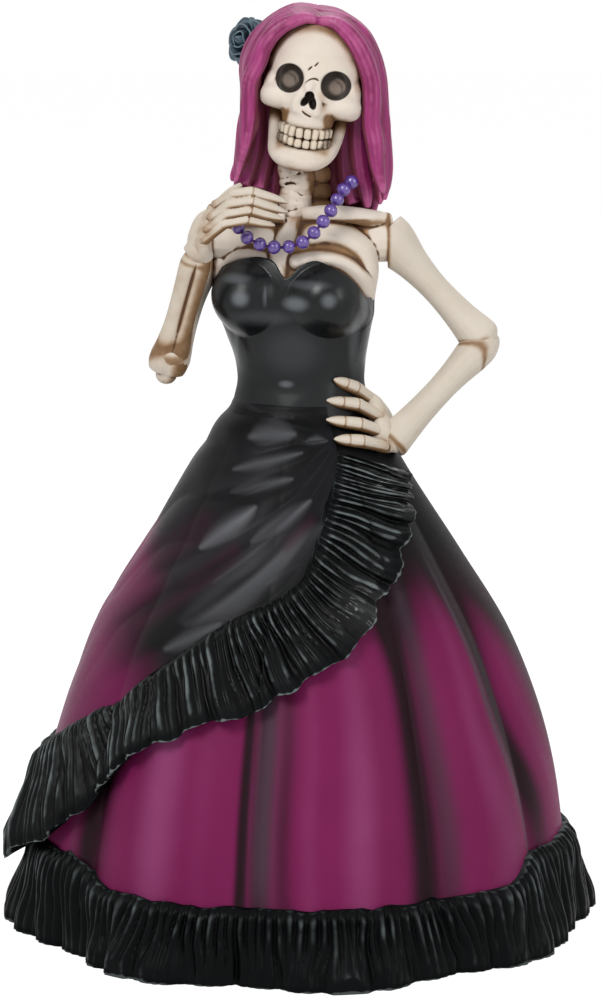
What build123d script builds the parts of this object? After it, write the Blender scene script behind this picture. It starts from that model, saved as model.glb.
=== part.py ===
"""A papier-mache catrina figure: a skeleton lady in a ruffled ball dress, about 300 mm tall.

Millimetres, +Z up. The origin is the middle of the foot of the dress, on the table. The figure
faces -Y, and +X is the figure's own left.
"""
from build123d import *
import os
from math import cos, pi, radians, sin, sqrt

os.makedirs("parts", exist_ok=True)

# ---------------------------------------------------------------- driving dimensions
WAIST_HEIGHT = 172
# Dress: heights and mean radii of the skirt, from the table to the waist
SKIRT_HEIGHTS = [0, 26, 50, 75, 97, 122, 148, 160, WAIST_HEIGHT]
SKIRT_RADII = [89, 86.5, 82.5, 75.5, 66.5, 51.5, 35.5, 28.5, 21]
SKIRT_ROUNDNESS = [1, 1, 1, 1, 1, 0.98, 0.94, 0.91, 0.87]   # depth as a share of the width
FOLD_VALLEYS = [-46, -10, 27, 57, 100, 143, 186, 229, 272]  # angles of the creases between folds
FOLD_DEPTHS = [1.0, 1.8, 2.4, 2.6, 2.2, 1.5, 0.6, 0.3, 0]
POINTS_PER_FOLD = 4
SKIRT_WALL = 3.0
CAVITY_TOP = 140                # the paper cone is hollow up to here

BOARD_THICKNESS = 4.0
BOARD_CLEARANCE = 0.2           # round the board, inside the skirt's foot
DOWEL_RADIUS = 2.5
DOWEL_FOOT = 1.0                # blind depth left under the dowel
DOWEL_TOP = 268

# Hem ruffle
HEM_HEIGHT = 24
HEM_PLEATS = 55
HEM_TOP_THICKNESS = 2.0
HEM_FOOT_RIDGE = 9.0            # how far ridges and valleys stand off the skirt on the table
HEM_FOOT_VALLEY = 5.5
HEM_SWELL = 3.0                 # the hem swings out and in round its own wide folds
HEM_VALLEYS = [-53, -11, 30, 74, 116, 158, 201, 243]

# Overskirt: a wrap, open at the left hip, highest there and lowest at the right side.
# The edge is given as angle from the front and height; the back mirrors the front.
OVERSKIRT_THICKNESS = 1.6
OVERSKIRT_TOP = WAIST_HEIGHT - 1
WRAP_SEAM = [(24, 158), (13, 141), (-1, 120), (-22, 108), (-46, 86), (-69, 68), (-90, 56)]
WRAP_EDGE = [(64, 150), (42, 132), (22, 111), (0, 94), (-28, 74), (-58, 46), (-90, 27)]
WRAP_PLEATS = 22                # pleats on the front half of the strip
WRAP_SEAM_THICKNESS = 1.6
WRAP_RIDGE = 7.0                # how far ridges and valleys stand off the skirt at the free edge
WRAP_VALLEY = 3.6

# Torso
CHEST_YAW = -12                 # the chest turns towards the raised hand
CHEST_HEIGHTS = [WAIST_HEIGHT, 183, 194, 206, 216, 226, 232]
CHEST_HALF_WIDTHS = [18.8, 19.2, 22.0, 25.5, 26.0, 22.0, 13.0]
CHEST_HALF_DEPTHS = [16.5, 15.5, 16.0, 17.0, 15.5, 12.0, 8.0]
CHEST_CENTRES = [0, 0, -1.0, -2.0, -1.5, -1.0, -1.0]
SHOULDER_HEIGHT = 224.2         # axis of the shoulder ends
SHOULDER_SPAN = 28.5            # from the middle to the seam of each arm
SHOULDER_RADIUS = 7.6
# Bones that stand out on the front of the chest: the (x, z) points of each, and its radius
RAISED_BONES = [
    ([(1, 230.4), (9, 229.8), (17, 226.6)], 2.4),             # collar bones
    ([(-6, 230.4), (-12, 229.4), (-18, 226.6)], 2.4),
    ([(-3.4, 231), (-5.4, 225), (-7.2, 215)], 2.6),            # breast bone
    ([(-0.8, 225), (8, 225), (16, 221.4), (21.6, 212)], 2.3),  # ribs
    ([(-2.6, 219), (9, 219.4), (16.4, 214.4)], 2.0),
    ([(-8.6, 224.6), (-16, 223.6), (-22.6, 217)], 2.3),
    ([(-10.4, 218.6), (-19, 218)], 2.0),
]
RAISED_BONE_SINK = 0.6          # how deep their middle lines lie below the chest's own surface
RAISED_BONE_SIDES = 6
BODICE_THICKNESS = 1.8
BODICE_BACK_TOP = 207
NECKLINE_DIP = (-6, 213)        # the middle dip of the sweetheart neckline: x and height
NECKLINE_PEAK_RISE = 5.5
NECKLINE_ARMPIT = 208
BUST_RADIUS = 11.0
BUST_HALF_GAP = 13.0
BUST_HEIGHT = 204
BUST_OFFSET = 11.5              # from the chest's middle to the centre of each cup

# Neck
NECK_CENTRE = (0.5, 1.0)
NECK_RADIUS = 6.2
NECK_SIDES = 10
VERTEBRA_COUNT = 5
VERTEBRA_WAIST = 0.8            # how much each vertebra narrows at its middle
NECK_FOOT = CHEST_HEIGHTS[-1]
NECK_TOP = 263

# Head, in its own frame: the origin is between the ears at eye level, z up the skull
HEAD_CENTRE = (4.6, -2.0, 275.8)
HEAD_ROLL = 9.5                 # the head leans to its left
HEAD_YAW = -5
SKULL_SIDES = 16
SKULL_HEIGHTS = [-14, -10, -6, -1, 4, 9, 14, 18, 20.5]
SKULL_HALF_WIDTHS = [9.4, 10.6, 14.4, 14.6, 14.8, 15.6, 14.0, 9.5, 4.5]
SKULL_FRONTS = [17.0, 17.6, 17.8, 16.6, 16.8, 16.6, 13.6, 8.6, 3.5]
SKULL_BACKS = [1.0, 4.0, 9.0, 12.5, 14.5, 15.5, 13.5, 9.0, 4.0]
EYE_HALF_GAP = 7.2
EYE_HEIGHT = 0.3
EYE_RADIUS = 4.8
EYE_DEPTH = 7.0
NOSE_WIDTH = 5.0
NOSE_HEIGHT = 5.0
NOSE_FOOT = -8.3
NOSE_DEPTH = 4.5
CHEEKBONE_RADIUS = 2.2
CHEEKBONE_SPAN = 15.6
CHEEKBONE_HEIGHT = -6.0
TEETH_PER_ROW = 10
TOOTH_GAP = 0.25
TOOTH_DEPTH = 2.2
TEETH_RADIUS = 8.8              # outer radius of the dental arch
TEETH_CENTRE_DEPTH = -7.4       # middle of the arch, in front of the ears
TEETH_ARC = 150
MOUTH_HEIGHT = -17.6
UPPER_TOOTH = 3.6
LOWER_TOOTH = 4.0
BITE_GAP = 0.4
JAW_RADIUS = 10.2
JAW_THICKNESS = 4.0
JAW_FOOT = -27.5
CHIN_TAPER = 2.6
RAMUS_THICKNESS = 2.4
RAMUS_TOP = -8.0

# Hair: the cap follows the head, in the head's frame; the falls hang in the figure's frame
CAP_HEIGHTS = [-4, 3, 9, 15, 19, 22, 24]
CAP_HALF_WIDTHS = [23.0, 22.8, 21.6, 18.6, 15.0, 9.5, 4.0]
CAP_FRONTS = [13.0, 16.5, 18.6, 16.6, 13.0, 8.5, 3.5]
CAP_BACKS = [18.0, 18.6, 18.6, 16.6, 13.5, 9.0, 4.0]
HAIR_SIDES = 24
HAIR_GROOVE = 0.035             # how deep the grooves between locks are, as a share
HAIRLINE = [(15.5, -16), (16.0, -4), (14.0, 8), (10.0, 14.8), (0, 17.0)]
FACE_WINDOW_DEPTH = 13
# height, middle (x, y), half width and half depth of each level of a fall
LEFT_FALL = [
    (280.0, (20.2, -2), 7.2, 10), (257, (22.3, -5), 7.2, 9),
    (246, (24, -6), 6.6, 7.5), (237.5, (26, -6.5), 4.4, 5),
]
RIGHT_FALL = [
    (281.0, (-11.6, -2), 6.6, 10), (257, (-15.6, -5), 5.2, 8),
    (247, (-18, -6), 4.8, 7), (241.5, (-20, -6), 3.6, 5),
]
BACK_FALL = [
    (284, (5, 8), 21, 9), (266, (4, 11), 21, 7.5), (250, (2, 17), 18, 4.4),
    (230, (0, 18.5), 15.5, 3.8), (208, (0, 20), 12.5, 2.6),
]

# Rose
ROSE_CENTRE = (-19.5, 4.0, 287)
ROSE_RADIUS = 8.0
ROSE_DEPTH = 5.5
ROSE_RINGS = 3
ROSE_PETALS = 5

# Necklace
BEAD_RADIUS = 2.1
BEAD_COUNT = 15
BEAD_HALF_LENGTH = 1.9
BEAD_CHAMFER = 0.55             # share of the half length taken by the sloping facets
BEAD_SIDES = 6
THREAD_RADIUS = 0.45
THREAD_SIDES = 4
THREAD_CLEARANCE = 0.25         # between the thread and the hole of a bead
THREAD_END_SHARE = 0.2          # how far inside its last bead each end of the thread stops
# from under the right fall of hair, down over the chest, and up to the left fall
NECKLACE_ROUTE = [
    (-19.0, -7.2, 240.9), (-20.3, -13.2, 234.2), (-19.6, -18.8, 228.4), (-16.5, -20.6, 225.8),
    (-11.0, -21.2, 223.4), (-3.9, -21.2, 223.2), (1.6, -21.0, 225.2), (6.4, -20.4, 230.1),
    (10.4, -16.8, 235.4), (13.4, -12.8, 240.2), (17.7, -7.2, 243.9),
]

# Arms: joint centres
LEFT_SHOULDER = (SHOULDER_SPAN, 1.0, SHOULDER_HEIGHT)
LEFT_ELBOW = (58.4, -2.0, 189.6)
LEFT_WRIST = (31.2, -10.5, 159.8)
RIGHT_SHOULDER = (-SHOULDER_SPAN, 1.0, SHOULDER_HEIGHT)
RIGHT_ELBOW = (-43.0, -9.0, 184.0)
RIGHT_WRIST = (-32.6, -21.0, 221.0)
BONE_SIDES = 14
# (share of the length, radius) along each bone
HUMERUS_SHAPE = [(0, 6.8), (0.1, 7.0), (0.26, 5.0), (0.6, 4.7), (0.86, 5.9), (1, 6.1)]
FOREARM_SHAPE = [(0, 5.9), (0.08, 6.4), (0.25, 5.2), (0.65, 4.8), (0.92, 5.0), (1, 4.4)]
SHOULDER_LAP = 3.0              # the upper arm starts this far inside, before its seam is cut
ELBOW_GAP = 1.2                 # the upper arm stops this far short of the elbow's centre
ELBOW_LAP = 2.5                 # the forearm's head reaches this far round the elbow
WRIST_GAP = 0.6
WIRE_RADIUS = 0.9
WIRE_SIDES = 6
WIRE_BURIED = 8                 # how far each arm's wire reaches into the chest
WIRE_LAP = 0.5                  # the bends of the wire, past each joint's centre

# Hands
PALM_THICKNESS = 4.4
WRIST_FLATNESS = 0.8
FINGER_SIDES = 6
FINGER_ROOT_RADIUS = 1.8
FINGER_JOINT_RADIUS = 1.7
FINGER_TIP_RADIUS = 0.6
FINGER_CLEARANCE = 0.3
SIDE_LIMIT = 0.985              # how far round the side a finger may start
# left hand: root, joint and tip of each finger as x and height; depth follows the waist
LEFT_FINGERS = [
    [(25.8, 170.6), (18.5, 176.6), (10.8, 180.0)],
    [(27.0, 166.4), (19.0, 171.4), (8.4, 173.4)],
    [(28.2, 162.0), (20.0, 165.6), (8.3, 167.8)],
    [(29.0, 157.9), (20.5, 160.6), (10.8, 162.0)],
]
LEFT_THUMB = [(30.4, -9.0, 161.5), (28.8, 3.0, 166.5), (21.6, 14.4, 171.5)]
# right hand: root, joint and tip of each finger
RIGHT_FINGERS = [
    [(-25.0, -29.0, 240.4), (-15.4, -32.0, 243.2), (-4.6, -28.5, 240.6)],
    [(-25.6, -29.5, 236.4), (-15.0, -32.8, 239.3), (-3.4, -29.0, 237.2)],
    [(-26.4, -29.5, 232.4), (-15.4, -32.6, 235.3), (-5.2, -29.0, 233.6)],
    [(-27.6, -29.0, 228.4), (-17.4, -31.6, 231.3), (-8.0, -28.6, 230.2)],
]
RIGHT_THUMB = [(-30.5, -24.5, 231.0), (-25.0, -21.5, 238.0), (-18.5, -19.5, 243.0)]


# ---------------------------------------------------------------- shared geometry
def between(value, keys, values):
    """The value read off a profile of straight stretches."""
    if value <= keys[0]:
        return values[0]
    for key, next_key, here, there in zip(keys, keys[1:], values, values[1:]):
        if value <= next_key:
            return here + (there - here) * (value - key) / (next_key - key)
    return values[-1]


def around(angle, radius, height=0):
    """A point at an angle from the front, positive towards the figure's left."""
    turn = radians(angle)
    return Vector(radius * sin(turn), -radius * cos(turn), height)


def flat(point):
    """The level coordinates of a point."""
    return (point.X, point.Y)


def fold_wave(angle, valleys):
    """-1 in each crease of a ring of folds, and 1 on the crest between two creases."""
    ring = valleys + [valleys[0] + 360]
    turn = (angle - ring[0]) % 360 + ring[0]
    crease = max(valley for valley in ring if valley <= turn)
    next_crease = ring[ring.index(crease) + 1]
    return -cos(2 * pi * (turn - crease) / (next_crease - crease))


def skirt_radius(angle, height):
    """Outer radius of the folded skirt."""
    turn = radians(angle)
    roundness = between(height, SKIRT_HEIGHTS, SKIRT_ROUNDNESS)
    oval_radius = between(height, SKIRT_HEIGHTS, SKIRT_RADII) / sqrt(
        sin(turn) ** 2 + (cos(turn) / roundness) ** 2
    )
    depth = between(height, SKIRT_HEIGHTS, FOLD_DEPTHS)
    return oval_radius + depth * fold_wave(angle, FOLD_VALLEYS)


def fold_ring(height, extra=0.0):
    """A level section of the skirt, grown by an extra thickness."""
    angles = []
    for crease, next_crease in zip(FOLD_VALLEYS, FOLD_VALLEYS[1:] + [FOLD_VALLEYS[0] + 360]):
        for step in range(POINTS_PER_FOLD):
            angles.append(crease + (next_crease - crease) * step / POINTS_PER_FOLD)
    with BuildSketch(Plane.XY.offset(height)) as ring:
        Polygon(*[flat(around(a, skirt_radius(a, height) + extra)) for a in angles])
    return ring.sketch


def oval(height, half_width, front, back, centre=(0, 0), yaw=0, sides=20):
    """A level many-sided oval whose front and back have their own depths."""
    points = []
    for step in range(sides):
        turn = radians(360 * step / sides)
        depth = front if cos(turn) > 0 else back
        x = half_width * sin(turn)
        y = -depth * cos(turn)
        swing = radians(yaw)
        points.append(
            (
                centre[0] + x * cos(swing) - y * sin(swing),
                centre[1] + x * sin(swing) + y * cos(swing),
            )
        )
    with BuildSketch(Plane.XY.offset(height)) as section:
        Polygon(*points)
    return section.sketch


def limb(points, radii, sides=BONE_SIDES, upright=(0, 0, 1)):
    """Sections square to a path, one for each radius."""
    path = [Vector(*point) for point in points]
    sections = []
    for index, (point, radius) in enumerate(zip(path, radii)):
        ahead = path[min(index + 1, len(path) - 1)]
        behind = path[max(index - 1, 0)]
        along = (ahead - behind).normalized()
        side = Vector(*upright).cross(along).normalized()
        with BuildSketch(Plane(point, x_dir=side, z_dir=along)) as section:
            RegularPolygon(radius, sides)
        sections.append(section.sketch)
    return sections


def bone(start, end, shape, start_gap, end_gap):
    """Sections of a straight bone that stops short of both joint centres."""
    first = Vector(*start)
    last = Vector(*end)
    along = (last - first).normalized()
    first = first + along * start_gap
    last = last - along * end_gap
    points = [first + (last - first) * share for share, radius in shape]
    return limb([tuple(point) for point in points], [radius for share, radius in shape])


def waist_depth(x, height, stand_off):
    """Depth of a point that rides on the front of the waist or hip."""
    if height < WAIST_HEIGHT:
        half_width = between(height, SKIRT_HEIGHTS, SKIRT_RADII)
        half_depth = half_width * between(height, SKIRT_HEIGHTS, SKIRT_ROUNDNESS)
        stand_off = stand_off + OVERSKIRT_THICKNESS
    else:
        half_width = between(height, CHEST_HEIGHTS, CHEST_HALF_WIDTHS) + BODICE_THICKNESS
        half_depth = between(height, CHEST_HEIGHTS, CHEST_HALF_DEPTHS) + BODICE_THICKNESS
    share = min(abs(x) / (half_width + stand_off), SIDE_LIMIT)
    return -(half_depth + stand_off) * sqrt(1 - share**2)


def chest_depth(x, height, sink):
    """Depth of a point that lies a little below the front of the turned chest oval."""
    half_width = between(height, CHEST_HEIGHTS, CHEST_HALF_WIDTHS) - sink
    half_depth = between(height, CHEST_HEIGHTS, CHEST_HALF_DEPTHS) - sink
    aside = x - between(height, CHEST_HEIGHTS, CHEST_CENTRES)
    turn = radians(CHEST_YAW)
    square = (sin(turn) / half_width) ** 2 + (cos(turn) / half_depth) ** 2
    slope = aside * sin(turn) * cos(turn) * (1 / half_width**2 - 1 / half_depth**2)
    rest = (aside * cos(turn) / half_width) ** 2 + (aside * sin(turn) / half_depth) ** 2 - 1
    return (-slope - sqrt(slope**2 - square * rest)) / square


# ---------------------------------------------------------------- armature
with BuildPart() as spine_dowel:
    with BuildSketch(Plane.XY.offset(DOWEL_FOOT)):
        Circle(DOWEL_RADIUS)
    extrude(amount=DOWEL_TOP - DOWEL_FOOT)

# The arm wires run from inside the chest through every joint to the wrist.
left_wire_root = (SHOULDER_SPAN - WIRE_BURIED, LEFT_SHOULDER[1], SHOULDER_HEIGHT)
right_wire_root = (WIRE_BURIED - SHOULDER_SPAN, RIGHT_SHOULDER[1], SHOULDER_HEIGHT)
left_wire_route = [Vector(*p) for p in (left_wire_root, LEFT_SHOULDER, LEFT_ELBOW, LEFT_WRIST)]
right_wire_route = [Vector(*p) for p in (right_wire_root, RIGHT_SHOULDER, RIGHT_ELBOW, RIGHT_WRIST)]

with BuildPart() as left_arm_wire:
    for start, end in zip(left_wire_route, left_wire_route[1:]):
        with BuildSketch(Plane(start, z_dir=end - start)):
            RegularPolygon(WIRE_RADIUS, WIRE_SIDES)
        extrude(amount=(end - start).length + WIRE_LAP)

with BuildPart() as right_arm_wire:
    for start, end in zip(right_wire_route, right_wire_route[1:]):
        with BuildSketch(Plane(start, z_dir=end - start)):
            RegularPolygon(WIRE_RADIUS, WIRE_SIDES)
        extrude(amount=(end - start).length + WIRE_LAP)

# ---------------------------------------------------------------- skirt and base
with BuildPart() as skirt_form:
    loft([fold_ring(height) for height in SKIRT_HEIGHTS], ruled=True)

foot_bore = SKIRT_RADII[0] - FOLD_DEPTHS[0] - SKIRT_WALL
with BuildPart() as skirt:
    add(skirt_form.part)
    with BuildSketch():
        Circle(foot_bore)
    extrude(amount=BOARD_THICKNESS, mode=Mode.SUBTRACT)
    cavity_levels = [BOARD_THICKNESS] + SKIRT_HEIGHTS[3:6:2] + [CAVITY_TOP]
    loft([fold_ring(level, -SKIRT_WALL) for level in cavity_levels], ruled=True, mode=Mode.SUBTRACT)
    add(spine_dowel.part, mode=Mode.SUBTRACT)

with BuildPart() as base_board:
    with BuildSketch():
        Circle(foot_bore - BOARD_CLEARANCE)
    extrude(amount=BOARD_THICKNESS)
    add(spine_dowel.part, mode=Mode.SUBTRACT)


# ---------------------------------------------------------------- hem ruffle
def pleat_ring(height, ridge, valley, swell):
    """A zigzag ring round the skirt: one ridge and one valley for each pleat."""
    points = []
    for step in range(2 * HEM_PLEATS):
        angle = 180 * step / HEM_PLEATS
        stand_off = (ridge if step % 2 else valley) + swell * fold_wave(angle, HEM_VALLEYS)
        points.append(flat(around(angle, skirt_radius(angle, height) + stand_off)))
    with BuildSketch(Plane.XY.offset(height)) as ring:
        Polygon(*points)
    return ring.sketch


with BuildPart() as hem_ruffle:
    loft(
        [
            pleat_ring(0, HEM_FOOT_RIDGE, HEM_FOOT_VALLEY, HEM_SWELL),
            pleat_ring(
                HEM_HEIGHT / 2,
                HEM_FOOT_RIDGE / 2 + HEM_TOP_THICKNESS * 2,
                (HEM_FOOT_VALLEY + HEM_TOP_THICKNESS) / 2,
                HEM_SWELL / 2,
            ),
            pleat_ring(HEM_HEIGHT, HEM_TOP_THICKNESS * 2, HEM_TOP_THICKNESS, 0),
        ],
        ruled=True,
    )
    add(skirt_form.part, mode=Mode.SUBTRACT)


# ---------------------------------------------------------------- overskirt and its ruffle
def wrap_point(line, share):
    """A point on one of the wrap's edges, by its share of the way round from hip to hip."""
    half = share * 2 if share <= 0.5 else (1 - share) * 2
    place = half * (len(line) - 1)
    index = min(int(place), len(line) - 2)
    blend = place - index
    angle = line[index][0] + (line[index + 1][0] - line[index][0]) * blend
    height = line[index][1] + (line[index + 1][1] - line[index][1]) * blend
    if share > 0.5:
        angle = -180 - angle
    return angle, height


def on_skirt(angle, height, stand_off):
    return around(angle, skirt_radius(angle, height) + stand_off, height)


with BuildPart() as overskirt:
    wrap_levels = [min(h for a, h in WRAP_SEAM) - 4] + [
        h for h in SKIRT_HEIGHTS if min(height for a, height in WRAP_SEAM) < h < OVERSKIRT_TOP
    ]
    loft(
        [fold_ring(level, OVERSKIRT_THICKNESS) for level in wrap_levels + [OVERSKIRT_TOP]],
        ruled=True,
    )
    # Everything below the seam line is cut away, seen from the front; the back is the same.
    with BuildSketch(Plane.XZ.offset(-SKIRT_RADII[0] * 1.2)):
        seam = [on_skirt(a, h, OVERSKIRT_THICKNESS) for a, h in WRAP_SEAM]
        outline = [(p.X, p.Z) for p in seam]
        reach = SKIRT_RADII[0] * 1.2
        Polygon(
            (outline[0][0], OVERSKIRT_TOP + 1),
            *outline,
            (-reach, outline[-1][1]),
            (-reach, 0),
            (reach, 0),
            (reach, OVERSKIRT_TOP + 1),
        )
    extrude(amount=2.4 * SKIRT_RADII[0], mode=Mode.SUBTRACT)
    add(skirt_form.part, mode=Mode.SUBTRACT)

with BuildPart() as overskirt_ruffle:
    strips = []
    steps = 4 * WRAP_PLEATS
    for step in range(steps + 1):
        share = step / steps
        top = on_skirt(*wrap_point(WRAP_SEAM, share), 0)
        free = on_skirt(*wrap_point(WRAP_EDGE, share), 0)
        down = (free - top).normalized()
        middle = (top + free) / 2
        outward = Vector(middle.X, middle.Y, 0).normalized()
        across = outward.cross(down).normalized()
        lift = WRAP_RIDGE if step % 2 else WRAP_VALLEY
        length = (free - top).length
        plane = Plane(top, x_dir=down, z_dir=across)
        seam_lift = OVERSKIRT_THICKNESS + WRAP_SEAM_THICKNESS
        side = 1 if plane.y_dir.dot(outward) > 0 else -1
        with BuildSketch(plane, mode=Mode.PRIVATE) as strip:
            Polygon(
                (0, -side * 3),
                (length, -side * 3),
                (length, side * lift),
                (length * 0.35, side * (lift * 0.55 + seam_lift * 0.45)),
                (0, side * seam_lift),
            )
        strips.append(strip.sketch)
    loft(strips, ruled=True)
    add(skirt_form.part, mode=Mode.SUBTRACT)
    add(overskirt.part, mode=Mode.SUBTRACT)


# ---------------------------------------------------------------- chest, bodice, neck
def chest_ring(index, extra=0.0):
    depth = CHEST_HALF_DEPTHS[index] + extra
    return oval(
        CHEST_HEIGHTS[index],
        CHEST_HALF_WIDTHS[index] + extra,
        depth,
        depth,
        centre=(CHEST_CENTRES[index], 0),
        yaw=CHEST_YAW,
    )


with BuildPart() as chest_form:
    loft([chest_ring(index) for index in range(len(CHEST_HEIGHTS))], ruled=True)

with BuildPart() as bodice:
    loft(
        [chest_ring(index, BODICE_THICKNESS) for index in range(len(CHEST_HEIGHTS) - 2)],
        ruled=True,
    )
    swing = radians(CHEST_YAW)
    for side in (-1, 1):
        cup_x = side * BUST_HALF_GAP * cos(swing) + BUST_OFFSET * sin(swing) + CHEST_CENTRES[3]
        cup_y = side * BUST_HALF_GAP * sin(swing) - BUST_OFFSET * cos(swing)
        cup = [
            oval(BUST_HEIGHT + BUST_RADIUS * rise, BUST_RADIUS * width, BUST_RADIUS * width,
                 BUST_RADIUS * width, centre=(cup_x, cup_y), sides=12)
            for rise, width in [(-0.95, 0.5), (-0.55, 0.85), (0, 1), (0.5, 0.85), (0.9, 0.5)]
        ]
        loft(cup, ruled=True)
    with BuildSketch(Plane.XZ.offset(-1)):
        with BuildLine():
            dip_x, dip_z = NECKLINE_DIP
            reach = SHOULDER_SPAN + 12
            left_peak = (dip_x + BUST_HALF_GAP, dip_z + NECKLINE_PEAK_RISE)
            right_peak = (dip_x - BUST_HALF_GAP, dip_z + NECKLINE_PEAK_RISE)
            top = CHEST_HEIGHTS[-1] + 10
            inner = BUST_HALF_GAP * 0.45
            ThreePointArc((dip_x, dip_z), (dip_x + inner, left_peak[1] - 1.2), left_peak)
            Line(left_peak, (reach, NECKLINE_ARMPIT - 10))
            Polyline((reach, NECKLINE_ARMPIT - 10), (reach, top), (-reach, top))
            Line((-reach, top), (-reach, NECKLINE_ARMPIT + 6))
            Line((-reach, NECKLINE_ARMPIT + 6), right_peak)
            ThreePointArc(right_peak, (dip_x - inner, right_peak[1] - 1.2), (dip_x, dip_z))
        make_face()
    extrude(amount=40, mode=Mode.SUBTRACT)
    with BuildSketch(Plane.XY.offset(BODICE_BACK_TOP)):
        with Locations((0, 20)):
            Rectangle(120, 40 + 2)
    extrude(amount=40, mode=Mode.SUBTRACT)
    add(chest_form.part, mode=Mode.SUBTRACT)

with BuildPart() as chest:
    add(chest_form.part)
    for side in (-1, 1):
        middle = (0, LEFT_SHOULDER[1], SHOULDER_HEIGHT)
        shoulder = limb(
            [middle, (side * SHOULDER_SPAN, LEFT_SHOULDER[1], SHOULDER_HEIGHT)],
            [SHOULDER_RADIUS - 1, SHOULDER_RADIUS],
        )
        loft(shoulder, ruled=True)
    for route, radius in RAISED_BONES:
        line = [(x, chest_depth(x, z, RAISED_BONE_SINK), z) for x, z in route]
        loft(limb(line, [radius] * len(line), RAISED_BONE_SIDES), ruled=True)
    add(bodice.part, mode=Mode.SUBTRACT)
    for wire in (left_arm_wire, right_arm_wire, spine_dowel):
        add(wire.part, mode=Mode.SUBTRACT)

# ---------------------------------------------------------------- head
head_place = Location(HEAD_CENTRE) * Rotation(0, HEAD_ROLL, HEAD_YAW)


def skull_ring(index, extra=0.0):
    return oval(
        SKULL_HEIGHTS[index],
        SKULL_HALF_WIDTHS[index] + extra,
        SKULL_FRONTS[index] + extra,
        SKULL_BACKS[index] + extra,
        sides=SKULL_SIDES,
    )


with BuildPart() as skull_form:
    loft([skull_ring(index) for index in range(len(SKULL_HEIGHTS))], ruled=True)

with BuildPart() as skull_carved:
    add(skull_form.part)
    for side in (-1, 1):
        # eye sockets, narrowing inwards
        eye_plane = Plane((side * EYE_HALF_GAP, -SKULL_FRONTS[3] - 1, EYE_HEIGHT), z_dir=(0, 1, 0))
        with BuildSketch(eye_plane):
            RegularPolygon(EYE_RADIUS, 12)
        with BuildSketch(eye_plane.offset(EYE_DEPTH)):
            RegularPolygon(EYE_RADIUS * 0.55, 12)
        loft(ruled=True, mode=Mode.SUBTRACT)
        # cheekbones, from under the eye back to the ear
        cheek = limb(
            [
                (side * CHEEKBONE_SPAN * 0.5, -SKULL_FRONTS[2] + 1.2, CHEEKBONE_HEIGHT),
                (side * CHEEKBONE_SPAN * 0.93, -SKULL_FRONTS[2] * 0.6, CHEEKBONE_HEIGHT + 0.6),
                (side * CHEEKBONE_SPAN * 0.95, 2, CHEEKBONE_HEIGHT + 2),
            ],
            [CHEEKBONE_RADIUS, CHEEKBONE_RADIUS, CHEEKBONE_RADIUS * 0.6],
            sides=6,
        )
        loft(cheek, ruled=True)
    with BuildSketch(Plane.XZ.offset(SKULL_FRONTS[2] + 2)):
        # the nose opening is an upside-down heart
        Polygon(
            (0, NOSE_FOOT + NOSE_HEIGHT),
            (-NOSE_WIDTH / 2, NOSE_FOOT + 0.8),
            (-NOSE_WIDTH / 4, NOSE_FOOT),
            (0, NOSE_FOOT + 1.0),
            (NOSE_WIDTH / 4, NOSE_FOOT),
            (NOSE_WIDTH / 2, NOSE_FOOT + 0.8),
        )
    extrude(amount=-NOSE_DEPTH - 2, mode=Mode.SUBTRACT)


jaw_top = MOUTH_HEIGHT - LOWER_TOOTH
with BuildPart() as jaw_carved:
    with BuildSketch(Plane.XY.offset(jaw_top)):
        with Locations((0, TEETH_CENTRE_DEPTH)):
            RegularPolygon(JAW_RADIUS, 16)
    with BuildSketch(Plane.XY.offset(JAW_FOOT)):
        with Locations((0, TEETH_CENTRE_DEPTH)):
            RegularPolygon(JAW_RADIUS - CHIN_TAPER, 16)
    loft(ruled=True)
    with BuildSketch(Plane.XY.offset(jaw_top)):
        with Locations((0, TEETH_CENTRE_DEPTH + 2)):
            RegularPolygon(JAW_RADIUS - JAW_THICKNESS, 16)
    extrude(amount=JAW_FOOT - jaw_top, mode=Mode.SUBTRACT)
    with BuildSketch(Plane.XY.offset(jaw_top)):
        with Locations((0, TEETH_CENTRE_DEPTH + JAW_RADIUS)):
            Rectangle(3 * JAW_RADIUS, 2 * JAW_RADIUS - 6)
    extrude(amount=JAW_FOOT - jaw_top, mode=Mode.SUBTRACT)
    for side in (-1, 1):
        ramus = [
            (side * (JAW_RADIUS - RAMUS_THICKNESS / 2 - 0.6), TEETH_CENTRE_DEPTH - 2.0, jaw_top - 1.5),
            (side * (JAW_RADIUS + 0.6), TEETH_CENTRE_DEPTH + 7.0, jaw_top + 1),
            (side * (JAW_RADIUS + 2.2), TEETH_CENTRE_DEPTH + 9.0, RAMUS_TOP - 2.4),
        ]
        loft(limb(ramus, [RAMUS_THICKNESS] * 3, sides=6), ruled=True)


def tooth_row(height, tooth, count):
    """Boxes round the dental arch."""
    pitch = TEETH_ARC / count
    width = radians(pitch) * (TEETH_RADIUS - TOOTH_DEPTH) - TOOTH_GAP
    teeth = []
    for index in range(count):
        turn = -TEETH_ARC / 2 + pitch * (index + 0.5)
        centre = around(turn, TEETH_RADIUS - TOOTH_DEPTH / 2)
        spot = Location((centre.X, centre.Y + TEETH_CENTRE_DEPTH, height), (0, 0, turn))
        teeth.append(spot * Box(width, TOOTH_DEPTH, tooth, mode=Mode.PRIVATE))
    return teeth



upper_row = tooth_row(MOUTH_HEIGHT + UPPER_TOOTH / 2, UPPER_TOOTH, TEETH_PER_ROW)
with BuildPart() as upper_teeth:
    with Locations(head_place):
        add(upper_row)

lower_height = LOWER_TOOTH - BITE_GAP
lower_row = tooth_row(jaw_top + lower_height / 2, lower_height, TEETH_PER_ROW)
with BuildPart() as lower_teeth:
    with Locations(head_place):
        add(lower_row)

with BuildPart() as skull:
    with Locations(head_place):
        add(skull_carved.part)
    add(spine_dowel.part, mode=Mode.SUBTRACT)

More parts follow.
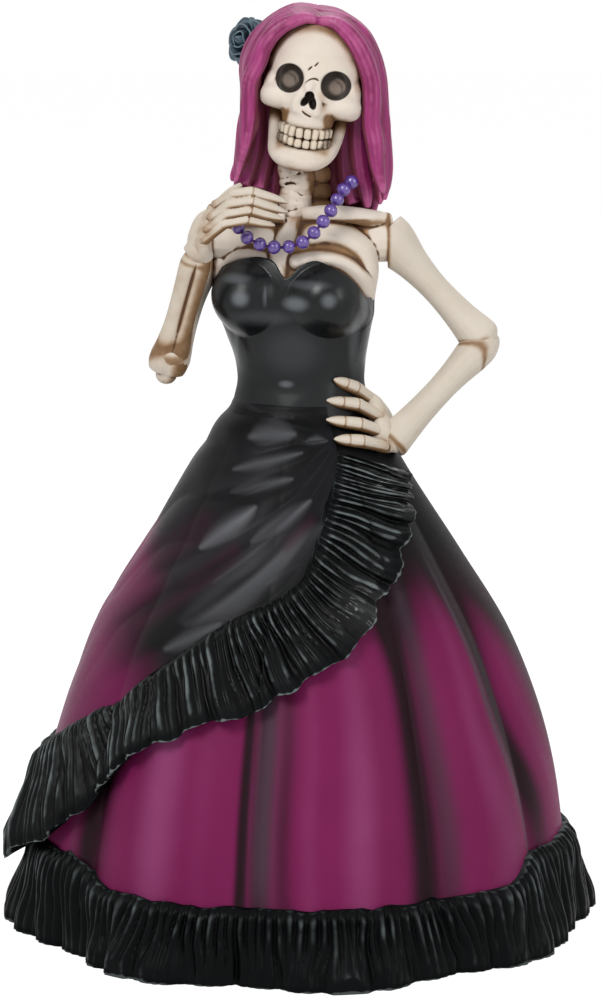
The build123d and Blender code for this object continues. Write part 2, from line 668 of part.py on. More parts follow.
with BuildPart() as jaw:
    with Locations(head_place):
        add(jaw_carved.part)
    add(skull.part, mode=Mode.SUBTRACT)


with BuildPart() as neck:
    step = (NECK_TOP - NECK_FOOT) / VERTEBRA_COUNT
    rings = []
    for index in range(2 * VERTEBRA_COUNT + 1):
        radius = NECK_RADIUS - (VERTEBRA_WAIST if index % 2 else 0)
        height = NECK_FOOT + index * step / 2
        rings.append(oval(height, radius, radius, radius, centre=NECK_CENTRE, sides=NECK_SIDES))
    loft(rings, ruled=True)
    add(skull.part, mode=Mode.SUBTRACT)
    add(jaw.part, mode=Mode.SUBTRACT)
    add(spine_dowel.part, mode=Mode.SUBTRACT)


# ---------------------------------------------------------------- hair
def lock_ring(height, centre, half_width, front, back):
    """A level oval of hair with shallow grooves between its locks."""
    points = []
    for step in range(HAIR_SIDES):
        turn = radians(360 * step / HAIR_SIDES)
        groove = 1 - HAIR_GROOVE * (step % 3 == 0)
        depth = front if cos(turn) > 0 else back
        points.append(
            (centre[0] + half_width * groove * sin(turn), centre[1] - depth * groove * cos(turn))
        )
    with BuildSketch(Plane.XY.offset(height)) as ring:
        Polygon(*points)
    return ring.sketch


with BuildPart() as cap_form:
    loft(
        [
            lock_ring(height, (0, 0), half_width, front, back)
            for height, half_width, front, back in zip(
                CAP_HEIGHTS, CAP_HALF_WIDTHS, CAP_FRONTS, CAP_BACKS
            )
        ],
        ruled=True,
    )
    add(skull_form.part, mode=Mode.SUBTRACT)
    with BuildSketch(Plane.XZ.offset(CAP_FRONTS[2] + 2)):
        Polygon(*HAIRLINE, *[(-x, height) for x, height in reversed(HAIRLINE[:-1])])
    extrude(amount=-FACE_WINDOW_DEPTH, mode=Mode.SUBTRACT)

with BuildPart() as hair_back:
    loft(
        [
            lock_ring(height, centre, half_width, half_depth, half_depth)
            for height, centre, half_width, half_depth in reversed(BACK_FALL)
        ],
        ruled=True,
    )
    with Locations(head_place):
        add(cap_form.part)
    for neighbour in (skull, neck, chest, bodice):
        add(neighbour.part, mode=Mode.SUBTRACT)

with BuildPart() as hair_left:
    loft(
        [
            lock_ring(height, centre, half_width, half_depth, half_depth)
            for height, centre, half_width, half_depth in reversed(LEFT_FALL)
        ],
        ruled=True,
    )
    for neighbour in (hair_back, skull, jaw, chest):
        add(neighbour.part, mode=Mode.SUBTRACT)
    # the seat against the cheekbone leaves a crumb, which is no part of the hair
    add(hair_left.solids().sort_by(SortBy.VOLUME)[-1], mode=Mode.REPLACE)

with BuildPart() as hair_right:
    loft(
        [
            lock_ring(height, centre, half_width, half_depth, half_depth)
            for height, centre, half_width, half_depth in reversed(RIGHT_FALL)
        ],
        ruled=True,
    )
    for neighbour in (hair_back, skull, jaw, chest):
        add(neighbour.part, mode=Mode.SUBTRACT)

with BuildPart() as hair_flower:
    rose_plane = Plane(ROSE_CENTRE, z_dir=(-0.8, -0.55, 0.2))
    for ring in range(ROSE_RINGS):
        shrink = 1 - 0.3 * ring
        foot = rose_plane.offset(ROSE_DEPTH * (ring * 0.28 - 0.5))
        brim = rose_plane.offset(ROSE_DEPTH * (ring * 0.28 - 0.5 + 0.44))
        with BuildSketch(foot.rotated((0, 0, 36 * ring))):
            RegularPolygon(ROSE_RADIUS * shrink * 0.7, ROSE_PETALS)
        with BuildSketch(brim.rotated((0, 0, 36 * ring))):
            RegularPolygon(ROSE_RADIUS * shrink, ROSE_PETALS)
        loft(ruled=True)
    add(hair_back.part, mode=Mode.SUBTRACT)

# ---------------------------------------------------------------- arms
with BuildPart() as left_humerus:
    loft(bone(LEFT_SHOULDER, LEFT_ELBOW, HUMERUS_SHAPE, -SHOULDER_LAP, ELBOW_GAP), ruled=True)
    # the arm's seam is the upright face of the shoulder end
    split(bisect_by=Plane.YZ.offset(SHOULDER_SPAN), keep=Keep.TOP)
    add(bodice.part, mode=Mode.SUBTRACT)
    add(left_arm_wire.part, mode=Mode.SUBTRACT)

with BuildPart() as left_forearm:
    loft(bone(LEFT_ELBOW, LEFT_WRIST, FOREARM_SHAPE, -ELBOW_LAP, WRIST_GAP), ruled=True)
    add(left_humerus.part, mode=Mode.SUBTRACT)
    add(left_arm_wire.part, mode=Mode.SUBTRACT)

with BuildPart() as right_humerus:
    loft(bone(RIGHT_SHOULDER, RIGHT_ELBOW, HUMERUS_SHAPE, -SHOULDER_LAP, ELBOW_GAP), ruled=True)
    # the arm's seam is the upright face of the shoulder end
    split(bisect_by=Plane.YZ.offset(-SHOULDER_SPAN), keep=Keep.BOTTOM)
    add(bodice.part, mode=Mode.SUBTRACT)
    add(right_arm_wire.part, mode=Mode.SUBTRACT)

with BuildPart() as right_forearm:
    loft(bone(RIGHT_ELBOW, RIGHT_WRIST, FOREARM_SHAPE, -ELBOW_LAP, WRIST_GAP), ruled=True)
    for neighbour in (right_humerus, right_arm_wire, bodice, chest):
        add(neighbour.part, mode=Mode.SUBTRACT)


# ---------------------------------------------------------------- hands
def flat_section(point, along, across, half_width, half_thickness, sides=10):
    """A flattened section of a palm."""
    plane = Plane(point, x_dir=across, z_dir=along)
    with BuildSketch(plane) as section:
        Polygon(
            *[
                (
                    half_width * cos(radians(360 * step / sides)),
                    half_thickness * sin(radians(360 * step / sides)),
                )
                for step in range(sides)
            ]
        )
    return section.sketch


def palm(wrist, fingers):
    """Sections from the wrist to the roots of the fingers."""
    roots = [Vector(*finger[0]) for finger in fingers]
    knuckles = (roots[0] + roots[-1]) / 2
    along = (knuckles - Vector(*wrist)).normalized()
    across = roots[0] - roots[-1]
    square = across - along * across.dot(along)
    half_width = square.length / 2 + FINGER_ROOT_RADIUS
    wrist_radius = FOREARM_SHAPE[-1][1]
    return [
        flat_section(wrist, along, square, wrist_radius, wrist_radius * WRIST_FLATNESS),
        flat_section(knuckles + along, along, square, half_width, PALM_THICKNESS / 2),
    ]


left_fingers_3d = [
    [(x, waist_depth(x, z, FINGER_ROOT_RADIUS + FINGER_CLEARANCE), z) for x, z in finger]
    for finger in LEFT_FINGERS
]
finger_radii = [FINGER_ROOT_RADIUS, FINGER_JOINT_RADIUS, FINGER_TIP_RADIUS]
thumb_radii = [FINGER_ROOT_RADIUS + 0.4, FINGER_JOINT_RADIUS + 0.1, FINGER_TIP_RADIUS + 0.2]

with BuildPart() as left_hand:
    loft(palm(LEFT_WRIST, left_fingers_3d), ruled=True)
    loft(limb(LEFT_THUMB, thumb_radii, FINGER_SIDES), ruled=True)
    for neighbour in (left_forearm, left_arm_wire, skirt_form, overskirt, overskirt_ruffle, bodice):
        add(neighbour.part, mode=Mode.SUBTRACT)

with BuildPart() as left_fingers:
    for finger in left_fingers_3d:
        loft(limb(finger, finger_radii, FINGER_SIDES), ruled=True)
    for neighbour in (left_hand, left_forearm, overskirt, overskirt_ruffle, bodice):
        add(neighbour.part, mode=Mode.SUBTRACT)

with BuildPart() as right_hand:
    loft(palm(RIGHT_WRIST, RIGHT_FINGERS), ruled=True)
    loft(limb(RIGHT_THUMB, thumb_radii, FINGER_SIDES), ruled=True)
    for neighbour in (right_forearm, right_arm_wire):
        add(neighbour.part, mode=Mode.SUBTRACT)

with BuildPart() as right_fingers:
    for finger in RIGHT_FINGERS:
        loft(limb(finger, finger_radii, FINGER_SIDES), ruled=True)
    add(right_hand.part, mode=Mode.SUBTRACT)

# ---------------------------------------------------------------- necklace
with BuildLine():
    necklace_curve = Spline(*NECKLACE_ROUTE)
# The thread bends between the beads, and each end of it is glued inside the last bead there.
bead_rims = [necklace_curve.position_at(index / BEAD_COUNT) for index in range(BEAD_COUNT + 1)]
bead_spans = list(zip(bead_rims, bead_rims[1:]))
thread_route = list(bead_rims)
thread_route[0] += (bead_rims[1] - bead_rims[0]) * THREAD_END_SHARE
thread_route[-1] += (bead_rims[-2] - bead_rims[-1]) * THREAD_END_SHARE

with BuildPart() as necklace_thread:
    thread_points = [tuple(point) for point in thread_route]
    loft(limb(thread_points, [THREAD_RADIUS] * len(thread_points), THREAD_SIDES), ruled=True)

with BuildPart() as necklace_beads:
    for start, end in bead_spans:
        middle = Plane((start + end) / 2, z_dir=end - start)
        with BuildPart(mode=Mode.PRIVATE) as bead:
            with BuildSketch(middle):
                RegularPolygon(BEAD_RADIUS, BEAD_SIDES)
            extrude(amount=BEAD_HALF_LENGTH, both=True)
            rims = bead.faces().sort_by(Axis(middle.origin, middle.z_dir))
            chamfer(rims[0].edges() + rims[-1].edges(), length=BEAD_HALF_LENGTH * BEAD_CHAMFER)
            with BuildSketch(middle):
                RegularPolygon(THREAD_RADIUS + THREAD_CLEARANCE, THREAD_SIDES)
            extrude(amount=BEAD_HALF_LENGTH, both=True, mode=Mode.SUBTRACT)
        add(bead.part)

# ---------------------------------------------------------------- the pieces
pieces = {
    "base_board": base_board,
    "spine_dowel": spine_dowel,
    "skirt": skirt,
    "hem_ruffle": hem_ruffle,
    "overskirt": overskirt,
    "overskirt_ruffle": overskirt_ruffle,
    "bodice": bodice,
    "chest": chest,
    "neck": neck,
    "skull": skull,
    "jaw": jaw,
    "upper_teeth": upper_teeth,
    "lower_teeth": lower_teeth,
    "hair_back": hair_back,
    "hair_left": hair_left,
    "hair_right": hair_right,
    "hair_flower": hair_flower,
    "necklace_thread": necklace_thread,
    "necklace_beads": necklace_beads,
    "left_arm_wire": left_arm_wire,
    "right_arm_wire": right_arm_wire,
    "left_humerus": left_humerus,
    "left_forearm": left_forearm,
    "left_hand": left_hand,
    "left_fingers": left_fingers,
    "right_humerus": right_humerus,
    "right_forearm": right_forearm,
    "right_hand": right_hand,
    "right_fingers": right_fingers,
}
for label, piece in pieces.items():
    piece.part.label = label
    export_step(piece.part, f"parts/{label}.step")
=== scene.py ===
"""Looks of the papier-mache catrina figure: carved bone, ruffled ball dress, hair, rose and beads.

Lengths are in millimetres and turned into metres where a mesh is made. The figure faces -Y and +X
is the figure's own left. Angles round the dress are in degrees, from the front towards +X.
"""

from math import cos, pi, radians, sin, sqrt

import bpy
import numpy as np
from mathutils import Matrix, Vector


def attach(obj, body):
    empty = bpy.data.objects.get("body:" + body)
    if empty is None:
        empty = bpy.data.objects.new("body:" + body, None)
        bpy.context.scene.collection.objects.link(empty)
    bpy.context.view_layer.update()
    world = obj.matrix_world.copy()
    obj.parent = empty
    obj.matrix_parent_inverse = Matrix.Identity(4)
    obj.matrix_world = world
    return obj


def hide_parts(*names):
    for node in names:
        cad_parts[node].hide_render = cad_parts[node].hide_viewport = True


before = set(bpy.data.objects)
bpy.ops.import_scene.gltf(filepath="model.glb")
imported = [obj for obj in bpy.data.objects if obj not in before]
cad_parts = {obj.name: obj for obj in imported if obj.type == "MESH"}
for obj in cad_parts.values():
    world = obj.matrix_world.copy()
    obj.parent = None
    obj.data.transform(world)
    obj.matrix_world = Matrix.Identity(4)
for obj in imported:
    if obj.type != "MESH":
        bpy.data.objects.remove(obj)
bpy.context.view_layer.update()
MM = 0.001


# ---------------------------------------------------------------- camera and lamps
camera_data = bpy.data.cameras.new("camera")
camera_data.lens = 122.11
camera_data.sensor_width = 36
camera_data.sensor_fit = "AUTO"
camera_data.clip_start = 0.01
camera = bpy.data.objects.new("camera", camera_data)
bpy.context.collection.objects.link(camera)
camera.location = (0, -1.1, 0.32867)
camera.rotation_euler = (radians(80.15), 0, 0)
bpy.context.scene.camera = camera
bpy.context.scene.view_settings.view_transform = "Standard"


def softbox(name, place, aim, size, watts):
    """A square studio lamp that points at a place on the figure."""
    data = bpy.data.lights.new(name, "AREA")
    data.shape = "RECTANGLE"
    data.size, data.size_y = size
    data.energy = watts
    lamp = bpy.data.objects.new(name, data)
    bpy.context.collection.objects.link(lamp)
    lamp.location = place
    lamp.rotation_euler = (Vector(aim) - Vector(place)).to_track_quat("-Z", "Y").to_euler()


softbox("key_lamp", (-0.6, -1.0, 1.0), (0, 0, 0.16), (0.5, 0.5), 10)
softbox("fill_lamp", (0.9, -0.9, 0.6), (0, 0, 0.15), (0.3, 0.6), 4.5)
softbox("top_lamp", (0.1, 0.5, 1.1), (0, 0, 0.18), (0.6, 0.4), 4)


# ---------------------------------------------------------------- paint kit
def colour(red, green, blue):
    """A paint chip's 0-255 values as linear light."""
    linear = []
    for part in (red, green, blue):
        part = part / 255
        linear.append(part / 12.92 if part <= 0.04045 else ((part + 0.055) / 1.055) ** 2.4)
    return (*linear, 1)


class Value:
    """One shader socket. Sums written on it add Math nodes to its paint."""

    def __init__(self, paint, socket):
        self.paint = paint
        self.socket = socket

    def __add__(self, other):
        return self.paint.maths("ADD", self, other)

    def __sub__(self, other):
        return self.paint.maths("SUBTRACT", self, other)

    def __rsub__(self, other):
        return self.paint.maths("SUBTRACT", other, self)

    def __mul__(self, other):
        return self.paint.maths("MULTIPLY", self, other)

    __radd__ = __add__
    __rmul__ = __mul__


class Wiring:
    """The nodes of a material or of the world."""

    def __init__(self, owner, bare=False):
        owner.use_nodes = True
        self.tree = owner.node_tree
        if bare:
            self.tree.nodes.clear()

    def node(self, kind, settings=None, **sockets):
        """Adds a node: its settings first, then what its sockets are set to or linked from."""
        added = self.tree.nodes.new(kind)
        for name, value in (settings or {}).items():
            setattr(added, name, value)
        for name, value in sockets.items():
            key = int(name[1:]) if name[1:].isdigit() else name.replace("_", " ")
            self.feed(added.inputs[key], value)
        return added

    def feed(self, socket, value):
        if isinstance(value, Value):
            value = value.socket
        if isinstance(value, bpy.types.NodeSocket):
            self.tree.links.new(value, socket)
        else:
            socket.default_value = value


class Paint(Wiring):
    """A procedural finish."""

    def __init__(self, name, **settings):
        self.material = bpy.data.materials.new(name)
        super().__init__(self.material)
        self.shader = self.tree.nodes["Principled BSDF"]
        self.place = self.node("ShaderNodeTexCoord").outputs["Object"]
        self.give(**settings)

    def give(self, **sockets):
        """Sets or feeds the shader itself."""
        for name, value in sockets.items():
            self.feed(self.shader.inputs[name.replace("_", " ")], value)

    def maths(self, operation, first, second):
        added = self.node("ShaderNodeMath", {"operation": operation}, _0=first, _1=second)
        return Value(self, added.outputs[0])

    def noted(self, name):
        """A number that the sculpting left on the surface."""
        added = self.node("ShaderNodeAttribute", {"attribute_name": name})
        return Value(self, added.outputs["Fac"])

    def grain(self, scale, detail=2.0, stretch=(1, 1, 1), rough=0.5):
        """Cloudy noise from 0 to 1."""
        mapped = self.node("ShaderNodeMapping", Vector=self.place, Scale=stretch)
        added = self.node(
            "ShaderNodeTexNoise",
            Vector=mapped.outputs[0], Scale=scale, Detail=detail, Roughness=rough,
        )
        return Value(self, added.outputs["Fac"])

    def ease(self, value, start, end, low=0.0, high=1.0):
        """Smoothly from low at start to high at end."""
        added = self.node(
            "ShaderNodeMapRange", {"interpolation_type": "SMOOTHSTEP"},
            _0=value, _1=start, _2=end, _3=low, _4=high,
        )
        return Value(self, added.outputs[0])

    def mix(self, factor, first, second):
        """Lays the second colour over the first."""
        added = self.node(
            "ShaderNodeMix", {"data_type": "RGBA", "clamp_factor": True},
            _0=factor, _6=first, _7=second,
        )
        return added.outputs[2]

    def bump(self, height, distance, strength):
        added = self.node("ShaderNodeBump", Height=height, Distance=distance, Strength=strength)
        self.give(Normal=added.outputs[0])


# ---------------------------------------------------------------- modelling kit
def take(*pieces):
    """Selects these objects alone and makes the first one active."""
    if bpy.context.mode != "OBJECT":
        bpy.ops.object.mode_set(mode="OBJECT")
    bpy.ops.object.select_all(action="DESELECT")
    for piece in pieces:
        piece.select_set(True)
    if pieces:
        bpy.context.view_layer.objects.active = pieces[0]


def settle(piece=None):
    """Puts the place, turn and size of a piece, or of the new primitive, into its mesh."""
    piece = piece or bpy.context.object
    take(piece)
    bpy.ops.object.transform_apply(location=True, rotation=True, scale=True)
    return piece


def copy_of(piece):
    """A second object with a mesh of its own."""
    copy = piece.copy()
    copy.data = piece.data.copy()
    bpy.context.collection.objects.link(copy)
    return copy


def call(piece, name):
    piece.name = name
    piece.data.name = name
    return piece


def ball(place, radii, turn=(0, 0, 0), segments=32):
    """A sphere squeezed to three radii."""
    take()
    bpy.ops.mesh.primitive_uv_sphere_add(
        segments=segments, ring_count=segments // 2, radius=MM, location=Vector(place) * MM,
        rotation=[radians(angle) for angle in turn], scale=radii,
    )
    return settle()


def block(place, sizes, turn, rounding):
    """A box with rounded edges."""
    take()
    bpy.ops.mesh.primitive_cube_add(
        size=MM, location=Vector(place) * MM, rotation=[radians(angle) for angle in turn],
        scale=sizes,
    )
    piece = settle()
    bpy.ops.object.mode_set(mode="EDIT")
    bpy.ops.mesh.select_all(action="SELECT")
    bpy.ops.mesh.bevel(offset=rounding * MM, segments=3, affect="EDGES")
    bpy.ops.object.mode_set(mode="OBJECT")
    return piece


def smooth_line(stations, cuts=6):
    """Points along a smooth line through the stations; what goes with each is eased as well."""
    keys = np.array(stations, float)
    keys = np.vstack([2 * keys[0] - keys[1], keys, 2 * keys[-1] - keys[-2]])
    line = []
    for index in range(1, len(keys) - 2):
        before, here, there, after = keys[index - 1 : index + 3]
        for cut in range(cuts):
            t = cut / cuts
            line.append(
                0.5 * (2 * here + (there - before) * t
                       + (2 * before - 5 * here + 4 * there - after) * t**2
                       + (3 * here - before - 3 * there + after) * t**3)
            )
    line.append(keys[-2])
    return line


def rods(paths, roundness=3, cuts=6):
    """Rods along smooth lines, in one mesh. A station is x, y, z and the radius there."""
    curve = bpy.data.curves.new("rods", "CURVE")
    curve.dimensions = "3D"
    curve.bevel_depth = MM
    curve.bevel_resolution = roundness
    curve.use_fill_caps = True
    for path in paths:
        line = smooth_line(path, cuts)
        spline = curve.splines.new("POLY")
        spline.points.add(len(line) - 1)
        for point, (x, y, z, radius) in zip(spline.points, line):
            point.co = (x * MM, y * MM, z * MM, 1)
            point.radius = max(radius, 0.05)
    piece = bpy.data.objects.new("rods", curve)
    bpy.context.collection.objects.link(piece)
    take(piece)
    bpy.ops.object.convert(target="MESH")
    return bpy.context.object


def modify(piece, kind, **settings):
    """Adds a modifier and applies it."""
    take(piece)
    modifier = piece.modifiers.new(kind.lower(), kind)
    for name, value in settings.items():
        setattr(modifier, name, value)
    bpy.ops.object.modifier_apply(modifier=modifier.name)


def join(name, *pieces):
    take(*pieces)
    if len(pieces) > 1:
        bpy.ops.object.join()
    return call(bpy.context.object, name)


def fuse(name, pieces, grain_size, smoothing):
    """Works several forms into one skin, like putty pressed over an armature."""
    piece = join(name, *pieces)
    knead(piece, grain_size, smoothing)
    return piece


def knead(piece, grain_size, smoothing):
    """Makes one even skin of a piece's overlapping forms and rubs it smooth."""
    modify(piece, "REMESH", mode="VOXEL", voxel_size=grain_size * MM, use_smooth_shade=True)
    modify(piece, "SMOOTH", factor=0.5, iterations=smoothing)


def carve(piece, *cutters):
    """Cuts the cutters out of the piece."""
    for cutter in cutters:
        modify(piece, "BOOLEAN", operation="DIFFERENCE", object=cutter, solver="EXACT")
        bpy.data.objects.remove(cutter)


def points_of(piece):
    """The mesh's points in millimetres."""
    points = np.empty(len(piece.data.vertices) * 3)
    piece.data.vertices.foreach_get("co", points)
    return points.reshape(-1, 3) / MM


def normals_of(piece):
    normals = np.empty(len(piece.data.vertices) * 3)
    piece.data.vertex_normals.foreach_get("vector", normals)
    return normals.reshape(-1, 3)


def mould(piece, points):
    """Presses the mesh to new points, in millimetres."""
    piece.data.vertices.foreach_set("co", (np.asarray(points) * MM).ravel())
    piece.data.update()


def note(piece, name, values):
    """Leaves one number for each point, for a paint to read."""
    layer = piece.data.attributes.new(name, "FLOAT", "POINT")
    layer.data.foreach_set("value", np.asarray(values, dtype=np.float32))


def relief(piece, rounds):
    """How far each point stands above the smoothed surface around it, in millimetres."""
    points = points_of(piece)
    edges = np.empty(len(piece.data.edges) * 2, dtype=np.int64)
    piece.data.edges.foreach_get("vertices", edges)
    ends = edges.reshape(-1, 2)
    start = np.concatenate([ends[:, 0], ends[:, 1]])
    end = np.concatenate([ends[:, 1], ends[:, 0]])
    count = np.maximum(np.bincount(start, minlength=len(points)), 1)
    level = points.copy()
    for _ in range(rounds):
        level = np.stack(
            [np.bincount(start, weights=level[end, axis], minlength=len(points)) / count
             for axis in range(3)], axis=1,
        )
    return ((points - level) * normals_of(piece)).sum(axis=1)


def shade_smooth(piece, angle=None):
    """Shades a piece smooth, up to a crease angle if one is given."""
    take(piece)
    if angle is None:
        bpy.ops.object.shade_smooth()
    else:
        bpy.ops.object.shade_smooth_by_angle(angle=radians(angle))


def finish(piece, paint, slot, *nodes):
    """Paints a finished piece and sets it in the frame in place of its CAD nodes."""
    piece.data.materials.clear()
    piece.data.materials.append(paint.material)
    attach(piece, "root")
    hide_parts(*nodes)


def read_table(table, across, along):
    """Reads a table of numbers smoothly; it comes round again at its edges."""
    cells, rows = table.shape
    column = np.floor(across).astype(int)
    row = np.floor(along).astype(int)
    u = across - column
    v = along - row
    u = u * u * (3 - 2 * u)
    v = v * v * (3 - 2 * v)
    here = table[column % cells, row % rows]
    right = table[(column + 1) % cells, row % rows]
    over = table[column % cells, (row + 1) % rows]
    both = table[(column + 1) % cells, (row + 1) % rows]
    return (here * (1 - u) + right * u) * (1 - v) + (over * (1 - u) + both * u) * v


def cloth_noise(across, along, cells, seed):
    """Smooth noise from -1 to 1 that comes round again after so many cells across."""
    return read_table(np.random.default_rng(seed).uniform(-1, 1, (cells, 97)), across, along)


def puffs(across, along, cells, seed, pinch=0.6):
    """Rounded ridges side by side, one to a cell, from 0 in the sharp creases to about 1."""
    swell = np.random.default_rng(seed).uniform(0.3, 1, (cells, 97))
    sign = np.where(np.arange(cells) % 2, 1.0, -1.0)[:, None]
    return np.abs(read_table(swell * sign, across, along)) ** pinch


def step_up(value, start, end):
    """Eases from 0 at start to 1 at end."""
    share = np.clip((value - start) / (end - start), 0, 1)
    return share * share * (3 - 2 * share)


def bell(value, width):
    """1 at zero, fading evenly to both sides over about the width."""
    return np.exp(-((value / width) ** 2))


# ---------------------------------------------------------------- the dress's lines
WAIST = 172
# Skirt: heights of its levels, their radii and depths as a share of the width, and its folds
SKIRT_HEIGHTS = [0, 26, 50, 75, 97, 122, 148, 160, WAIST]
SKIRT_RADII = [89, 86.5, 82.5, 75.5, 66.5, 51.5, 35.5, 28.5, 21]
SKIRT_ROUNDNESS = [1, 1, 1, 1, 1, 0.98, 0.94, 0.91, 0.87]
FOLD_DEPTHS = [1.0, 1.8, 2.4, 2.6, 2.2, 1.5, 0.6, 0.3, 0]
FOLD_VALLEYS = [-51, -10, 29, 61, 100, 143, 186, 229, 270]    # angles of the creases
HEM_VALLEYS = [-53, -11, 30, 74, 116, 158, 201, 243]
# The wrap's two edges over the front half: angle and height of points along each
WRAP_SEAM = [(24, 158), (13, 141), (-1, 120), (-22, 108), (-46, 86), (-69, 67), (-90, 52)]
WRAP_EDGE = [(64, 150), (45, 134), (13, 103), (-13, 83.5), (-39, 67), (-60, 37), (-87, 16)]


def eased(value, keys, values):
    """A profile read off smoothly between its keys."""
    keys = np.array(keys, float)
    values = np.array(values, float)
    slopes = np.gradient(values, keys)
    index = np.clip(np.searchsorted(keys, value, side="right") - 1, 0, len(keys) - 2)
    span = keys[index + 1] - keys[index]
    t = np.clip((value - keys[index]) / span, 0, 1)
    return (
        values[index] * (1 + 2 * t) * (1 - t) ** 2 + slopes[index] * span * t * (1 - t) ** 2
        + values[index + 1] * t * t * (3 - 2 * t) + slopes[index + 1] * span * t * t * (t - 1)
    )


def fold_share(angle, valleys):
    """How far round its fold an angle is: 0 in the crease before it and 1 in the next."""
    ring = np.array(valleys + [valleys[0] + 360], float)
    turn = (angle - ring[0]) % 360 + ring[0]
    index = np.clip(np.searchsorted(ring, turn, side="right") - 1, 0, len(ring) - 2)
    return (turn - ring[index]) / (ring[index + 1] - ring[index])


def skirt_radius(angle, height, folds=1.0):
    """Outer radius of the skirt: full rounded folds that meet in narrow creases."""
    turn = np.radians(angle)
    roundness = eased(height, SKIRT_HEIGHTS, SKIRT_ROUNDNESS)
    radius = eased(height, SKIRT_HEIGHTS, SKIRT_RADII) / np.sqrt(
        np.sin(turn) ** 2 + (np.cos(turn) / roundness) ** 2
    )
    share = fold_share(angle, FOLD_VALLEYS)
    fold = 2 * np.sin(pi * share) ** 0.62 - 1.15
    return radius + folds * fold * eased(height, SKIRT_HEIGHTS, FOLD_DEPTHS)


def around(angle, radius, height):
    """Points on the dress from their angle, distance from the middle and height."""
    turn = np.radians(angle)
    return np.stack([radius * np.sin(turn), -radius * np.cos(turn), height + 0 * turn], axis=-1)


def sheet(name, across, along):
    """A grid of unit size. Also gives how far across and along it each point lies, from 0 to 1."""
    take()
    bpy.ops.mesh.primitive_grid_add(x_subdivisions=across, y_subdivisions=along, size=1)
    piece = call(settle(), name)
    grid = points_of(piece) * MM + 0.5
    return piece, grid[:, 0], grid[:, 1]


def weld(piece):
    """Joins a rolled sheet's meeting edges, fills its open rims and turns its faces outwards."""
    take(piece)
    bpy.ops.object.mode_set(mode="EDIT")
    bpy.ops.mesh.select_mode(type="VERT")
    bpy.ops.mesh.select_all(action="SELECT")
    bpy.ops.mesh.remove_doubles(threshold=0.005 * MM)
    bpy.ops.mesh.select_all(action="DESELECT")
    bpy.ops.mesh.select_non_manifold(extend=False)
    bpy.ops.mesh.fill_holes(sides=0)
    bpy.ops.mesh.select_all(action="SELECT")
    bpy.ops.mesh.normals_make_consistent(inside=False)
    bpy.ops.object.mode_set(mode="OBJECT")


# ---------------------------------------------------------------- skirt
# Lines up the front of the skirt, airbrushed dark and painted shade in its creases, painted grey
# highlights and painted highlights on its folds: angle of the middle, half width and strength
DARK_AND_SHADE_LINES = [
    (-47, 4.0, 0.9), (-12.6, 1.5, 1.0), (-8.6, 3.6, 0.7), (-3.2, 2.8, 0.55), (27.4, 4.6, 0.95),
    (32.0, 4.4, 0.55), (56.8, 4.8, 1.0), (80, 8, 0.35),
]
GREY_HIGHLIGHT_LINES = [(-7.8, 2.7, 0.85), (33.5, 2.4, 0.45), (52, 1.1, 0.9), (-51.5, 1.0, 0.4)]
LIT_LINES = [
    (-32, 6, 1.0), (13, 4.5, 1.0), (45, 4, 0.7), (-22, 4, 0.4), (2.5, 3, 0.5), (68, 4, 0.5),
]
UPPER_SHADE_HEIGHTS = (80, 128)        # between these the plum darkens into painted shade, under the wrap
WRAP_SHADOW_HEIGHTS = (116, 142)      # and between these the painted shade into a black painted shadow


def lines_at(angle, lines):
    """Strength of a set of upright brushed lines at each angle."""
    strength = np.zeros(len(angle))
    for middle, half_width, force in lines:
        strength = np.maximum(strength, force * bell(angle - middle, half_width))
    return strength


def make_skirt():
    piece, across, along = sheet("skirt_cloth", 480, 130)
    turns = across - 0.5
    angle = turns * 360
    height = along * WAIST
    radius = skirt_radius(angle, height) + 0.25 * cloth_noise(turns * 36, height / 30, 36, 3)
    mould(piece, around(angle, radius, height))
    # the painted lines sway, and spread towards the hem at the sides
    spread = step_up(85 - height, 0, 50) * step_up(np.abs(angle), 38, 54)
    drift = angle * (1 - 0.13 * spread) + 0.9 * cloth_noise(turns * 18, height / 40, 18, 8)
    in_front = np.abs(angle) < 94
    share = fold_share(angle, FOLD_VALLEYS)
    crease = np.minimum(share, 1 - share)
    # airbrushed dark and painted shade in the creases; round the back, in every crease
    dark_and_shade = np.where(in_front, lines_at(drift, DARK_AND_SHADE_LINES), bell(crease, 0.13) * 0.95)
    dark_and_shade = dark_and_shade * (1 - 0.4 * step_up(angle, 42, 50) * step_up(60 - height, 0, 35))
    # painted shade over the top of the skirt under the wrap, and down the figure's left side
    top = step_up(height - 9 * (1 - step_up(angle, 46, 60)), *UPPER_SHADE_HEIGHTS)
    side = step_up(angle, 62, 95) * step_up(height, 20, 90) * 0.5
    note(piece, "dark_and_shade", np.clip(dark_and_shade + top + side, 0, 1))
    # the black painted shadow under the wrap
    note(piece, "wrap_shadow", step_up(height + 10 * step_up(angle, 20, 60), *WRAP_SHADOW_HEIGHTS))
    # painted highlights along the folds
    sheen = np.where(in_front, lines_at(drift, LIT_LINES), bell(share - 0.42, 0.2))
    sheen = sheen * (0.75 + 0.3 * cloth_noise(turns * 24, height / 50, 24, 5))
    note(piece, "sheen", np.clip(sheen, 0, 1))
    # painted grey highlights beside the creases
    note(piece, "grey_highlight", np.clip(lines_at(drift, GREY_HIGHLIGHT_LINES) * step_up(height, 8, 40), 0, 1))
    weld(piece)
    shade_smooth(piece)
    finish(piece, plum_paint(), "plum_paint", "skirt")


